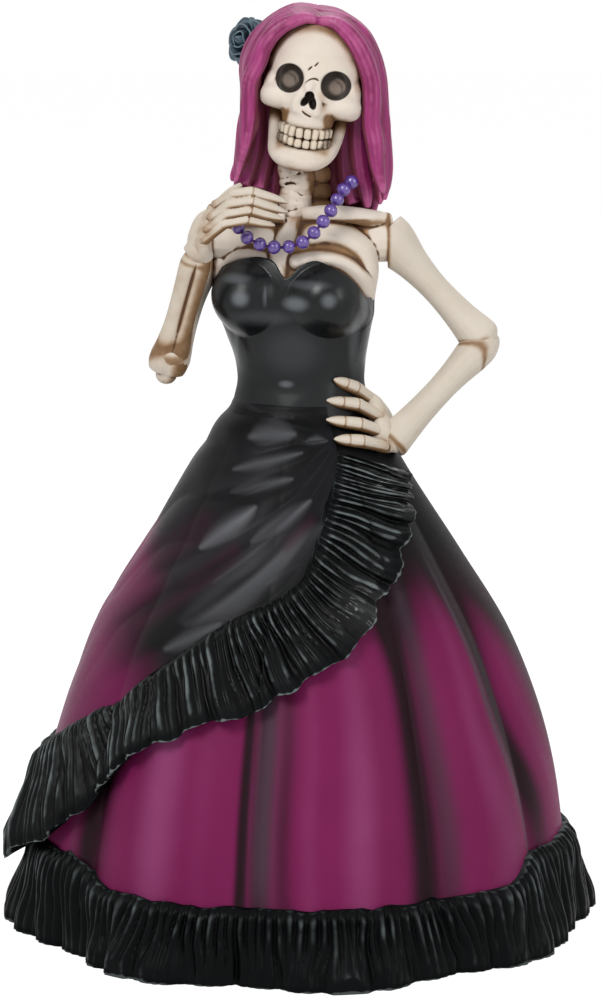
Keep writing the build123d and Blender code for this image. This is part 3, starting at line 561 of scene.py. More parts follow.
def plum_paint():
    paint = Paint("plum_airbrush", Specular_IOR_Level=0.1)
    dark_and_shade = paint.noted("dark_and_shade")
    sheen = paint.noted("sheen")
    grey_highlight = paint.noted("grey_highlight")
    wrap_shadow = paint.noted("wrap_shadow")
    cloud = paint.grain(38, 3)
    speck = paint.grain(900, 2)
    plum = paint.mix(cloud, colour(106, 22, 70), colour(124, 32, 84))
    # painted highlights on the folds, then airbrushed dark and painted shade, painted grey
    # highlights and the black painted shadow under the wrap
    lit = paint.mix(paint.ease(sheen * (0.7 + 0.5 * cloud), 0.15, 1.1), plum, colour(142, 66, 112))
    dark = paint.mix(paint.ease(dark_and_shade + 0.2 * (cloud - 0.5), 0.04, 0.92), lit, colour(30, 9, 18))
    highlighted = paint.mix(grey_highlight * 0.85, dark, colour(76, 60, 72))
    black = paint.mix(wrap_shadow, highlighted, colour(13, 12, 13))
    paint.give(Base_Color=black, Roughness=0.42 + 0.2 * speck)
    paint.bump(speck + 3 * cloud, 0.00012, 0.35)
    return paint


# ---------------------------------------------------------------- overskirt
def wrap_line(line, share):
    """Angle and height on one of the wrap's edges; the back half mirrors the front."""
    half = np.where(share <= 0.5, share * 2, (1 - share) * 2) * (len(line) - 1)
    keys = np.arange(len(line))
    angle = eased(half, keys, [point[0] for point in line])
    height = eased(half, keys, [point[1] for point in line])
    behind = np.clip((-90 - np.where(share > 0.5, -180 - angle, angle)) / 50, 0, 1)
    return np.where(share > 0.5, -180 - angle, angle), height - 13 * np.sin(pi * behind)


# Long soft highlights on the wrap: where each runs across and up, half its width, its strength
LEAVES = [
    ([(-20.4, 152.0), (-12.3, 154.6), (0.5, 157.9)], 1.4, 0.6),
    ([(-21.0, 145.3), (-12.3, 148.2), (-2.4, 150.2)], 1.6, 0.65),
    ([(-30.8, 128.5), (-21.8, 135.1), (-13.5, 141.8)], 2.3, 1.0),
    ([(-14.8, 131.6), (-5.9, 137.1), (3.0, 143.8)], 2.0, 0.85),
    ([(-35.3, 107.2), (-19.1, 118.3), (-3.3, 129.7), (6.5, 136.2)], 5.0, 0.62),
    ([(-42.0, 98.6), (-32.3, 103.7), (-24.7, 107.8)], 2.2, 0.55),
    ([(-10.6, 119.6), (-4.6, 123.4), (0.5, 126.0)], 1.4, 0.5),
    ([(-15.0, 162.0), (-9.0, 163.6), (-2.0, 163.4)], 3.4, 0.7),
    ([(1.5, 161.0), (5.0, 161.8), (8.0, 161.2)], 1.3, 0.8),
    ([(-27.0, 119.0), (-17.0, 126.5), (-8.0, 133.5)], 1.3, 0.4),
]


# Where plum shows faintly through the black of the wrap, and half its width
BLUSH_LINES = [
    ([(-50, 104), (-33, 118), (-20, 128)], 2.6), ([(-42, 125), (-29, 136)], 3.4),
    ([(-4, 131), (3, 138)], 2.0),
]
WAIST_CREASE = [(-20.3, 168.6), (-12, 168.4), (-3.0, 167.4)]
WRAP_CORNER = (30, 162)         # angle and height at the hip that the wrap is gathered to
MM_PER_DEGREE = 0.78            # round the skirt, near that corner
WRAP_TOP = WAIST + 2.5
WRAP_UNDERLAP = 3               # how far the cloth runs on under its ruffle
WRAP_STAND = 1.6                # from the skirt to the wrap's outer face
WRAP_THICKNESS = 1.2


def gap_to_line(x, z, line):
    """Each point's distance, across and up, from a line; and its share of the way along it."""
    best = np.full(len(x), 99.0)
    along = np.zeros(len(x))
    for index, ((start_x, start_z), (end_x, end_z)) in enumerate(zip(line, line[1:])):
        run, rise = end_x - start_x, end_z - start_z
        share = np.clip(((x - start_x) * run + (z - start_z) * rise) / (run**2 + rise**2), 0, 1)
        gap = np.hypot(x - start_x - share * run, z - start_z - share * rise)
        along = np.where(gap < best, (index + share) / (len(line) - 1), along)
        best = np.minimum(best, gap)
    return best, along


def leaf_light(x, z, streak):
    """How strongly the leaf-shaped highlights show."""
    light = np.zeros(len(x))
    for line, half_width, force in LEAVES:
        gap, along = gap_to_line(x, z, line)
        taper = half_width * (0.3 + 0.85 * np.sin(pi * along) ** 0.8)
        light = np.maximum(light, force * (1 - step_up(gap / taper + 0.7 * streak, -0.6, 2.2)))
    return light


def make_overskirt():
    """The wrap: its folds and highlights spread from the corner it is gathered to."""
    piece, share, rise = sheet("overskirt_cloth", 384, 124)
    angle, seam = wrap_line(WRAP_SEAM, share)
    foot = seam - WRAP_UNDERLAP
    height = foot + (WRAP_TOP - foot) * rise
    in_front = np.abs(angle) < 90
    away = (WRAP_CORNER[0] - np.where(angle < -90, -180 - angle, angle)) * MM_PER_DEGREE
    drop = WRAP_CORNER[1] - height
    bearing = np.degrees(np.arctan2(drop, away))
    reach = np.hypot(away, drop)
    streak = cloth_noise(bearing / 2.6, reach / 60, 47, 21)
    broad = skirt_radius(angle, height, 0.3)
    x = broad * np.sin(np.radians(angle))
    leaf = leaf_light(x, height, streak)
    warp = bearing + 5 * cloth_noise(reach / 26 + 7, bearing / 24 + 11, 61, 12)
    puff = puffs(warp / 12 + 9, reach / 34, 60, 15, 0.8) - 0.45
    drape = puff * step_up(reach, 3, 34) * (1 - 0.5 * step_up(reach, 100, 140))
    fine = cloth_noise(warp / 4.5, reach / 22, 53, 14) * step_up(reach, 6, 30) * 0.3
    stand = 0.2 + (WRAP_STAND - 0.2) * step_up(173 - height, 0, 12)
    radius = broad + stand + (1.1 * drape + fine + 0.7 * leaf) * step_up(174 - height, 1, 14)
    clear_of_skirt = skirt_radius(angle, height) + 0.35 * step_up(WAIST - height, 2, 20) + 0.1
    radius = np.maximum(radius, clear_of_skirt)
    radius -= 0.6 * bell(gap_to_line(x, height, WAIST_CREASE)[0], 0.9) * in_front
    # the top edge slips in under the bodice
    chest_angle = angle - CHEST_YAW
    tucked = chest_ring(chest_angle, height, 3.5 - 2.4 * step_up(height, 170.5, WRAP_TOP))
    share_up = step_up(height, 165, WAIST)[:, None]
    mould(piece, around(angle, radius, height) * (1 - share_up)
          + chest_points(chest_angle, tucked, height) * share_up)
    # far from the corner the black gives way to plum, sooner low down
    plum_reach = reach + 2.5 * streak - 9 * step_up(118 - height, 0, 16)
    note(piece, "dark_and_shade", 1 - step_up(plum_reach, 64, 106) * step_up(146 - height, 0, 30))
    # painted grey highlights: the leaf-shaped ones and thin streaks spreading from the corner
    highlight_streaks = 0.22 * np.clip(streak + 0.2, 0, 1) * step_up(reach, 6, 30)
    note(piece, "grey_highlight", np.clip(leaf * (0.75 + 0.45 * streak) + highlight_streaks, 0, 1))
    blush = np.zeros(len(angle))
    for line, half_width in BLUSH_LINES:
        blush = np.maximum(blush, bell(gap_to_line(x, height, line)[0], half_width))
    note(piece, "blush", blush * in_front * (0.7 + 0.5 * streak))
    outwards = (points_of(piece)[:, :2] * normals_of(piece)[:, :2]).sum() >= 0
    modify(piece, "SOLIDIFY", thickness=WRAP_THICKNESS * MM, offset=-1 if outwards else 1)
    shade_smooth(piece)
    finish(piece, satin_paint(), "plum_paint", "overskirt")


def satin_paint():
    paint = Paint("satin_airbrush", Specular_IOR_Level=0.09)
    dark_and_shade = paint.noted("dark_and_shade")
    grey_highlight = paint.noted("grey_highlight")
    cloud = paint.grain(45, 3)
    speck = paint.grain(800, 2)
    plum = paint.mix(cloud, colour(108, 24, 72), colour(126, 36, 86))
    # the plum a little darker as painted shade, except under the grey highlights
    shaded = paint.mix(paint.ease(grey_highlight, 0.0, 0.6, 0.25, 0.0), plum, colour(52, 20, 42))
    tint = paint.mix(paint.ease(cloud, 0.35, 0.75), colour(9, 10, 11), colour(24, 22, 26))
    # painted grey highlights on the black
    black = paint.mix(paint.ease(grey_highlight, 0.05, 1.0), tint, colour(100, 101, 105))
    black = paint.mix(paint.noted("blush") * 0.55, black, colour(60, 25, 42))
    dark = paint.mix(paint.ease(dark_and_shade + 0.2 * (cloud - 0.5), 0.15, 0.85), shaded, black)
    paint.give(Base_Color=dark, Roughness=0.36 + 0.14 * speck)
    paint.bump(speck + 2 * cloud, 0.0001, 0.3)
    return paint


# ---------------------------------------------------------------- ruffles
RUFFLE_REACH = 99.4             # the wrap's ruffle stays this near the figure's middle
HEM_REACH = 99.6


def gathers(share, fall, fine, wide, seed, merging):
    """Gathered cloth: fine puffs pinched at the seam that run together into wide loose ones."""
    drift = 1.1 * cloth_noise(share * fine / 8, fall * 1.1 + 3, fine // 8, seed + 1)
    drift = drift + 0.3 * cloth_noise(share * fine / 2, fall * 2.4 + 9, fine // 2, seed + 6)
    tight = puffs(share * fine + drift, fall * 1.3, fine, seed, 0.7)
    loose = puffs(share * wide + drift * wide / fine, fall * 0.6, wide, seed + 4, 0.8)
    crumple = cloth_noise(share * fine, fall * 4, fine, seed + 3)
    free = step_up(fall, 0.1, 0.9)
    return (1.35 - merging * free) * tight + (0.25 + 1.5 * free) * loose + 0.12 * crumple - 0.95


def ruffle_sheet(name, across, along, face_share):
    """A strip whose section runs down the face and up again behind.

    Gives how far round the strip each point lies, how far down from the seam, and how far up the
    back, each from 0 to 1.
    """
    piece, share, section = sheet(name, across, along)
    back = np.clip((section - face_share) / (1 - face_share), 0, 1)
    return piece, share, np.where(section < face_share, section / face_share, 1 - back), back


def turn_under(lift, under, back, turn):
    """Takes the strip from its face to its back over the first part of the way up behind."""
    return lift + (under - lift) * np.clip(back / turn, 0, 1)


def finish_ruffle(piece, points, rim, wet, shade, node):
    mould(piece, points)
    note(piece, "rim", rim)
    note(piece, "wet", wet)
    weld(piece)
    crest = relief(piece, 16)
    note(piece, "crest", crest / crest.std())
    shade_smooth(piece)
    finish(piece, ruffle_paint(shade), "black_paint", node)


def make_wrap_ruffle():
    piece, share, fall, back = ruffle_sheet("overskirt_ruffle_cloth", 900, 92, 0.74)
    seam_angle, seam_height = wrap_line(WRAP_SEAM, share)
    edge_angle, edge_height = wrap_line(WRAP_EDGE, share)
    wave = cloth_noise(share * 80, 0 * share + 2.5, 80, 31)
    nick = cloth_noise(share * 160, 0 * share + 2.5, 160, 32)
    stretch = fall * (1 + 0.07 * wave) - 0.03 * (1 - fall) * nick
    angle = seam_angle + (edge_angle - seam_angle) * stretch
    height = seam_height + (edge_height - seam_height) * stretch
    # two places where the cloth is knotted and wet with gloss: by the hip and below it
    knots = np.maximum(
        bell(angle - 47, 15) * bell(height - 148, 10), bell(angle - 24, 11) * bell(height - 112, 7)
    )
    crimp = gathers(share, fall, fine=152, wide=46, seed=41, merging=0.7)
    crimp = crimp + 0.5 * knots * cloth_noise(share * 190, fall * 8, 190, 47)
    depth = eased(fall, [0, 0.08, 0.3, 0.7, 1], [1.0, 1.8, 2.3, 2.5, 2.7])
    depth = depth * (1 - 0.5 * step_up(angle, 36, 54) * step_up(fall, 0.5, 1.0))
    # at the figure's right side the strip swings off the skirt
    swing = step_up(-angle, 52, 84) * (1 - step_up(-angle, 100, 128)) * (1.5 + 6 * fall)
    lift = eased(fall, [0, 0.06, 0.16, 0.35, 0.7, 0.93, 1], [1.9, 3.9, 4.4, 4.0, 4.8, 5.1, 5.2])
    lift = (lift + crimp * depth + swing) * (1 - 0.6 * step_up(-angle, 208, 236))
    under = -1.2 + 1.8 * step_up(fall, 0.9, 1.0) + 0.7 * swing
    radius = skirt_radius(angle, np.clip(height, 0, WAIST)) + turn_under(lift, under, back, 0.12)
    points = around(angle, np.minimum(radius, RUFFLE_REACH), np.clip(height, 1.0, WAIST))
    rim = np.where(back > 0, 1.0, step_up(fall, 0.8, 0.94))
    finish_ruffle(piece, points, rim, knots, 0.85, "overskirt_ruffle")


def make_hem_ruffle():
    piece, share, fall, back = ruffle_sheet("hem_ruffle_cloth", 1360, 70, 0.7)
    angle = share * 360 - 180
    fold = -np.cos(2 * pi * fold_share(angle, HEM_VALLEYS))
    wave = cloth_noise(share * 190, 0 * share + 1.5, 190, 61)
    side = np.where(angle < 0, step_up(-angle, 44, 58), step_up(angle, 50, 60))
    height = (23.5 + 6.5 * side + 0.9 * wave) * (1 - fall)
    crimp = gathers(share, fall, fine=176, wide=40, seed=71, merging=1.0)
    depth = eased(fall, [0, 0.1, 0.4, 0.8, 1], [1.0, 1.7, 2.2, 2.5, 2.1])
    lift = eased(fall, [0, 0.08, 0.2, 0.5, 0.85, 1], [1.4, 3.2, 4.0, 4.9, 6.6, 6.6])
    lift = lift + crimp * depth + 3.0 * fold * step_up(fall, 0.15, 1.0)
    under = np.where(fall > 0.9, 0.5, -1.0)
    radius = skirt_radius(angle, height) + turn_under(lift, under, back, 0.1)
    points = around(angle, np.minimum(radius, HEM_REACH), height)
    rim = np.where(back > 0, 1.0, step_up(fall, 0.88, 0.97))
    finish_ruffle(piece, points, rim, 0 * share, 0.5, "hem_ruffle")


def ruffle_paint(shade):
    """Glossy black with painted grey highlights on its crests and painted shade in its creases; the
    shade is how far the grey goes.
    """
    paint = Paint("ruffle_black", Specular_IOR_Level=0.01 + 0.09 * shade, Coat_Roughness=0.12)
    crest = paint.noted("crest")
    rim = paint.noted("rim")
    cloud = paint.grain(75, 2)
    patch = paint.grain(24, 2)
    speck = paint.grain(700, 3)
    broken = paint.grain(200, 2)
    black = paint.mix(cloud, colour(3, 4, 5), colour(11, 13, 14))
    # painted highlights in broken strokes along the crests, none on the rim
    strokes = crest * (0.2 + 1.7 * cloud) * (0.1 + 1.8 * broken) + 1.4 * (patch - 0.5) - 2 * rim
    crest_highlight = paint.ease(strokes, 0.45, 1.8)
    lit = paint.mix(crest_highlight * shade, black, colour(108, 116, 116))
    # painted shade in the creases
    deep = paint.mix(paint.ease(crest, 0.1, -1.0), lit, colour(1, 1, 1))
    paint.give(
        Base_Color=deep, Coat_Weight=0.6 * paint.noted("wet"),
        Roughness=paint.ease(patch + 0.3 * speck, 0.3, 0.9, 0.18, 0.5) + 0.4 * rim,
    )
    paint.bump(speck + 2 * cloud, 0.00012, 0.4)
    return paint


# ---------------------------------------------------------------- bodice
# Torso: its turn towards the raised hand, and the levels of its oval
CHEST_YAW = -12
CHEST_HEIGHTS = [165, WAIST, 183, 194, 206, 216, 226, 232]
CHEST_HALF_WIDTHS = [20.5, 18.8, 19.2, 22.0, 25.5, 26.0, 22.0, 13.0]
CHEST_HALF_DEPTHS = [18.0, 16.5, 15.5, 16.0, 17.0, 15.5, 12.0, 8.0]
CHEST_CENTRES = [0, 0, 0, -1.0, -2.0, -1.5, -1.0, -1.0]
BUST_HEIGHT = 205.5
BUST_RADIUS = 12.4
BUST_HALF_GAP = 12.4
BUST_OFFSET = 10.6
BODICE_FOOT = 166
BODICE_WALL = 1.8
ROLL_START = 0.94               # share of the bodice's height where its top edge turns in
# The heart-shaped top edge of the bodice, lower at the arms and back: angle and height
NECKLINE = [
    (-180, 206.5), (-150, 206.5), (-100, 208), (-72, 214), (-50, 217.8), (-28, 219.2), (-12, 217.6),
    (2, 212.8), (16, 216.5), (34, 218.2), (52, 214.0), (68, 207.5), (100, 205.5), (150, 206.5),
    (180, 206.5),
]
# Painted highlights on the bodice, soft grey dabs: their middle across and up, their half sizes and
# strength
BODICE_SHINE = [
    (-19.4, 206.4, 2.6, 2.4, 0.8), (-1.6, 204.8, 3.6, 2.2, 0.8), (9.0, 206.2, 2.3, 2.2, 0.7),
    (-21.0, 212.6, 4.6, 1.5, 0.45), (2.5, 211.0, 6.0, 1.4, 0.4), (-11.4, 207.0, 0.5, 3.2, 0.5),
    (-4.6, 178.4, 2.2, 1.1, 0.6), (17.5, 191.0, 1.8, 11.0, 0.3), (-12.0, 200.0, 9.0, 2.4, 0.18),
    (-21.0, 188.0, 0.9, 7.0, 0.35), (-3.0, 189.0, 9.0, 7.0, 0.12),
]


def chest_ring(angle, height, extra=0.0):
    """Radius of the turned oval of the chest in the direction of an angle from its own front."""
    turn = np.radians(angle)
    half_width = eased(height, CHEST_HEIGHTS, CHEST_HALF_WIDTHS) + extra
    half_depth = eased(height, CHEST_HEIGHTS, CHEST_HALF_DEPTHS) + extra
    return 1 / np.sqrt((np.sin(turn) / half_width) ** 2 + (np.cos(turn) / half_depth) ** 2)


def chest_points(angle, radius, height):
    """Points round the torso, turned with it and shifted as it leans."""
    turn = np.radians(angle)
    x = radius * np.sin(turn)
    y = -radius * np.cos(turn)
    yaw = radians(CHEST_YAW)
    centre = eased(height, CHEST_HEIGHTS, CHEST_CENTRES)
    return np.stack(
        [centre + x * cos(yaw) - y * sin(yaw), x * sin(yaw) + y * cos(yaw), height + 0 * x], axis=-1
    )


def soft_max(first, second, ease):
    """The larger of two, with their meeting rounded."""
    blend = np.clip(0.5 + 0.5 * (first - second) / ease, 0, 1)
    return second + (first - second) * blend + ease * blend * (1 - blend)


def neckline(angle):
    return eased(angle, *zip(*NECKLINE))


def make_bodice():
    piece, across, share = sheet("bodice_shell", 320, 120)
    angle = across * 360 - 180
    height = BODICE_FOOT + (neckline(angle) - BODICE_FOOT) * np.clip(share / ROLL_START, 0, 1)
    radius = chest_ring(angle, height, BODICE_WALL)
    turn = np.radians(angle)
    for side in (-1, 1):
        out = side * BUST_HALF_GAP
        nearest = out * np.sin(turn) + BUST_OFFSET * np.cos(turn)
        aside = out * np.cos(turn) - BUST_OFFSET * np.sin(turn)
        room = BUST_RADIUS**2 - aside**2 - (height - BUST_HEIGHT) ** 2
        cup = nearest + np.sqrt(np.maximum(room, 0))
        cup = np.where((room > 0) & (np.cos(turn) > 0), cup, radius - 3)
        radius = soft_max(radius, cup, 4.5)
    crumple = cloth_noise(angle / 360 * 16, height / 7, 16, 81) * bell(height - 176, 7)
    flare = step_up(181 - height, 0, 10) ** 1.5
    armhole = step_up(share, 0.78, ROLL_START) * step_up(np.abs(angle), 48, 80)
    rolled = np.clip((share - ROLL_START) / (1 - ROLL_START), 0, 1)
    radius += 0.35 * crumple + 1.1 * flare - 0.9 * armhole - 2.4 * rolled
    points = chest_points(angle, radius, height - 0.5 * rolled)
    mould(piece, points)
    x, y, z = points.T
    # the painted highlights
    shine = np.zeros(len(points))
    for middle_x, middle_z, wide, tall, force in BODICE_SHINE:
        dab = np.hypot((x - middle_x) / wide, (z - middle_z) / tall)
        shine = np.maximum(shine, force * (1 - step_up(dab, 0.3, 1.5)))
    note(piece, "shine", shine * step_up(-y, 0, 4))
    note(piece, "dull", step_up(186 - z, 0, 8))
    weld(piece)
    shade_smooth(piece)
    finish(piece, latex_paint(), "black_paint", "bodice")


def latex_paint():
    paint = Paint("bodice_gloss", Specular_IOR_Level=0.2, Coat_Weight=0.06, Coat_Roughness=0.2)
    cloud = paint.grain(55, 3)
    fine = paint.grain(500, 2)
    black = paint.mix(cloud, colour(9, 11, 12), colour(26, 28, 29))
    # painted highlights, grey on the black
    shine = paint.noted("shine") * (0.7 + 0.6 * cloud)
    paint.give(
        Base_Color=paint.mix(shine, black, colour(112, 117, 121)),
        Roughness=paint.ease(cloud, 0.3, 0.75, 0.22, 0.42) + 0.3 * paint.noted("dull"),
    )
    paint.bump(cloud * 5 + 0.4 * fine, 0.0002, 0.35)
    return paint


# ---------------------------------------------------------------- bone
def bone_paint(name, pale=(214, 200, 183), light=(231, 221, 210)):
    """Ivory with a brown wash and painted shade in its grooves, hollows and shaded places, and dark
    sockets with painted light.
    """
    paint = Paint(name, Specular_IOR_Level=0.35)
    wash_and_shade = paint.noted("wash_and_shade")
    pit = paint.noted("pit")
    cloud = paint.grain(70, 4)
    blotch = paint.grain(190, 3)
    speck = paint.grain(1500, 2)
    uneven = blotch - 0.5
    ivory = paint.mix(cloud, colour(*pale), colour(*light))
    # brown wash and painted shade: tan in the broad hollows, brown in the fine grooves and wherever
    # they are noted
    fine = paint.ease(paint.noted("crest") + 0.05 * uneven, -0.01, -0.16)
    broad = paint.ease(paint.noted("hollow") + 0.6 * uneven, -0.05, -0.9)
    tan_wash_and_shade = paint.ease(broad + wash_and_shade * 0.8 + 0.5 * uneven, 0.1, 0.9)
    tan = paint.mix(tan_wash_and_shade, ivory, colour(164, 124, 80))
    brown_wash_and_shade = paint.ease(fine + wash_and_shade * 0.75 + 0.3 * uneven, 0.3, 1.1)
    brown = paint.mix(brown_wash_and_shade, tan, colour(78, 50, 27))
    # dark paint in the nose and eye sockets, lighter where the sockets hold painted highlights
    lit = paint.ease(pit + 0.16 * uneven, 0.6, 0.98)
    socket = paint.mix(lit, colour(36, 28, 22), colour(138, 122, 110))
    dark = paint.mix(paint.ease(pit, 0.15, 0.5), brown, socket)
    paint.give(Base_Color=dark, Roughness=0.5 + 0.15 * speck)
    paint.bump(speck + 2 * blotch, 0.0001, 0.3)
    return paint


def note_wash_and_shade(piece, wash_and_shade=None, pit=None):
    """Notes what the brown wash and painted shade need: fine grooves, broad hollows and painted
    places.
    """
    count = len(piece.data.vertices)
    note(piece, "crest", relief(piece, 6))
    note(piece, "hollow", relief(piece, 70))
    note(piece, "wash_and_shade", np.zeros(count) if wash_and_shade is None else np.clip(wash_and_shade, 0, 1))
    note(piece, "pit", np.zeros(count) if pit is None else np.clip(pit, 0, 1))
    shade_smooth(piece)


def near(points, places, size):
    """1 at any of the places, fading with distance."""
    close = np.zeros(len(points))
    for place in places:
        gap = np.linalg.norm(points - np.array(place, float), axis=1)
        close = np.maximum(close, bell(gap, size))
    return close


SHOULDER_SEAM = 28.5            # from the middle to where each arm begins
CHEST_FOOT = 190
CHEST_RISE = 41.5
# Raised bones of the chest's front: where each runs across and up, and half its width
CHEST_BONES = [
    ([(-2.6, 231.0), (-3.8, 227.4), (-5.2, 224.4)], 2.7),
    ([(-6.6, 221.2), (-8.0, 214.2)], 2.8),
    ([(3.6, 226.8), (9.0, 227.2), (15.8, 225.4), (21.4, 220.9), (24.2, 213.7), (24.6, 209.0)], 2.9),
    ([(-1.6, 217.9), (4.0, 218.9), (10.0, 218.5), (15.8, 216.0), (21.2, 210.2), (23.6, 204.0)],
     2.0),
    ([(-12.0, 218.6), (-18.5, 219.3), (-25.5, 216.4)], 1.9),
    ([(-10.8, 225.2), (-17.0, 225.8), (-23.5, 220.5)], 2.7),
]
COLLAR_BONES = [
    [(0.6, -8.6, 232.2, 2.4), (8, -9.0, 233.0, 2.5), (16, -7.4, 232.2, 2.7),
     (23, -4.0, 230.6, 3.0), (28.2, -0.6, 229.0, 3.3)],
    [(-5.0, -9.0, 231.8, 2.4), (-14, -8.6, 232.4, 2.5), (-21, -5.5, 231.2, 2.9),
     (-28.2, -0.6, 229.0, 3.3)],
]
SHOULDER_END = [
    (14, 1, 222.6, 7.0), (20, 0.6, 223.2, 7.6), (25, 0.8, 223.9, 7.9), (SHOULDER_SEAM, 1, 224, 7.9),
]
BACKBONE = [(0.5, 3, 236, 4.6), (0, 7, 228, 3.2), (0, 12.5, 220, 2.4), (0, 15, 208, 2.2)]


def chest_relief(x, z):
    """1 on the raised bones, 0 between them; and 1 along the edges of the bones."""
    lift = np.zeros(len(x))
    edge = np.zeros(len(x))
    for line, half_width in CHEST_BONES:
        gap = gap_to_line(x, z, smooth_line(line, 4))[0] / half_width
        lift = np.maximum(lift, 1 - step_up(gap, 0.35, 1.45))
        edge = np.maximum(edge, bell(gap - 1.2, 0.22))
    return lift, edge * (1 - step_up(lift, 0.3, 0.7))


def make_chest():
    core, across, share = sheet("core", 360, 120)
    height = CHEST_FOOT + CHEST_RISE * share
    angle = across * 360 - 180
    radius = chest_ring(angle, height, -0.5)
    x, y, z = chest_points(angle, radius, height).T
    lift = chest_relief(x, z)[0] * step_up(-y, 0, 5)
    mould(core, chest_points(angle, radius + 1.8 * lift, height))
    weld(core)
    other_end = [(-x, y, z, radius) for x, y, z, radius in SHOULDER_END]
    forms = [
        core,
        rods([*COLLAR_BONES, SHOULDER_END, other_end], roundness=6),
        # the side of the ribs under the right arm, and the shoulder blades
        ball((-25.6, 0.5, 214.5), (4.0, 6.0, 6.0)),
        ball((13, 9.5, 216), (8.5, 4.0, 11), turn=(-8, 0, -20)),
        ball((-13, 9.5, 216), (8.5, 4.0, 11), turn=(-8, 0, 20)),
        rods([BACKBONE]),
    ]
    piece = fuse("chest_bone", forms, 0.4, 3)
    points = points_of(piece)
    x, y, z = points.T
    lift, edge = chest_relief(x, z)
    # dark seams at the shoulders, and brown wash and painted shade between the raised bones
    seam = bell(np.abs(x) - SHOULDER_SEAM, 0.8) * step_up(z, 212, 216)
    front = step_up(-y, 1, 8) * (1 - step_up(np.abs(x), 19.5, 24) * step_up(z, 211, 217))
    between = 0.85 * (1 - lift) + 0.12 * edge
    wash_and_shade = seam + front * (1 - step_up(z, 230.2, 231.4)) * between
    wash_and_shade += 0.8 * bell(z - 229.4, 1.6) * step_up(-y, 2, 6) * (1 - lift)    # painted shade under the collar bones
    wash_and_shade += 0.8 * near(points, [(-3, -9, 235), (1, -3, 236), (-1, -9, 231)], 4)    # painted shade at the throat
    # painted shade along the top edge of the bodice
    wash_and_shade += 0.3 * bell(z - neckline(np.degrees(np.arctan2(x, -y)) - CHEST_YAW), 1.1)
    note_wash_and_shade(piece, wash_and_shade)
    finish(piece, bone_paint("chest_bone_paint"), "bone_paint", "chest")


# ---------------------------------------------------------------- head
# The head has a frame of its own: forward is still -Y, its middle lies between the eyes
HEAD = (
    Matrix.Translation(Vector((4.6, -2.0, 275.8)) * MM)
    @ Matrix.Rotation(radians(9.5), 4, "Y")
    @ Matrix.Rotation(radians(-5), 4, "Z")
)
EYES = [(-6.8, -0.65), (8.2, -0.65)]
EYE_RADII = (5.0, 5.8, 4.9)
# The nose opening, an upside-down heart: place, radii and lean of each of its lobes
NOSE = [
    (0.7, -5.3, (1.5, 4.6, 1.7), 0), (-0.5, -6.9, (1.1, 4.6, 1.9), 30),
    (1.9, -7.1, (1.2, 4.6, 2.1), -18),
]
SKULL_BALLS = [
    # brow and back of the head, temples, face, upper jaw
    ((0, -0.8, 4.4), (15.4, 16.4, 15.6)), ((0.4, -6.6, 2.6), (14.3, 11.6, 11.4)),
    ((0.6, -8.2, -3.6), (13.4, 9.7, 7.4)), ((0.6, -9.0, -9.4), (9.4, 8.5, 6.6)),
    ((0.6, -9.0, -13.2), (8.4, 7.4, 4.6)),
    # cheeks, broad under the eyes and square at their outer ends
    ((-9.4, -10.2, -6.6), (6.4, 5.4, 4.6)), ((10.6, -10.2, -7.0), (6.6, 5.4, 4.6)),
    ((-5.4, -13.2, -7.4), (3.0, 2.8, 3.2)), ((6.2, -13.3, -7.8), (3.0, 2.8, 3.2)),
    ((-12.4, -7.4, -4.6), (3.0, 5.4, 6.6)), ((13.4, -7.4, -4.8), (3.0, 5.4, 6.8)),
]
SKULL_RODS = [
    # cheekbones
    [(-9.4, -12.2, -8.6, 2.4), (-13.0, -9.4, -8.0, 2.7), (-14.0, -3.4, -6.6, 2.2),
     (-13.8, 3.0, -4.0, 1.8)],
    [(10.6, -12.2, -9.0, 2.4), (14.0, -9.4, -8.8, 2.7), (15.0, -3.4, -7.0, 2.2),
     (14.4, 3.0, -4.0, 1.8)],
    # nose bones
    [(0, -16.4, 1.4, 1.6), (0, -17.6, -2.0, 1.7), (0, -18.2, -4.2, 1.4)],
    [(-1.8, -17.2, -4.4, 1.2), (-3.5, -16.6, -8.0, 1.5), (-3.0, -16.0, -10.8, 1.5)],
    [(1.8, -17.2, -4.6, 1.2), (3.7, -16.6, -8.4, 1.5), (3.4, -16.0, -11.0, 1.5)],
]
JAW_RODS = [
    # the arch of the jaw, the roots of the teeth and the chin
    [(-10.8, 0.5, -10.6, 2.2), (-10.0, -2.8, -15.4, 2.3), (-8.9, -6.0, -20.6, 2.4),
     (-7.4, -10.8, -24.2, 2.8), (-4.2, -13.6, -25.9, 3.1), (0.6, -15.0, -26.3, 3.2),
     (5.4, -13.6, -25.5, 3.0), (8.5, -10.8, -23.2, 2.7), (10.0, -6.0, -19.6, 2.4),
     (10.7, -2.8, -15.0, 2.2), (11.0, 0.5, -10.6, 2.1)],
    [(-7.6, -9.4, -22.8, 2.0), (-4.8, -13.2, -23.8, 2.0), (0.7, -15.0, -24.2, 2.0),
     (6.2, -13.2, -23.4, 2.0), (9.0, -9.4, -22.2, 2.0)],
    [(-3.0, -15.2, -27.0, 1.9), (4.6, -15.2, -26.8, 1.9)],
]
JAW_BALLS = [((0.8, -10.5, -25.2), (7.0, 5.0, 2.9)), ((0.7, -9.2, -21.8), (6.2, 4.2, 2.6))]
# Teeth of a row, from the figure's right to its left, round the arch of the mouth
TOOTH_WIDTHS = [1.7, 1.9, 2.1, 2.3, 2.6, 2.6, 2.3, 2.1, 1.9, 1.7]
TOOTH_GAP = 0.3
MOUTH_MIDDLE = (0.6, -7.8)
MOUTH_RADIUS = 8.4
MOUTH_CURVE = 0.019             # how fast the rows rise towards the corners of the mouth


def to_head(piece):
    """Moves a piece from the head's own frame to its place on the figure."""
    piece.matrix_world = HEAD
    settle(piece)


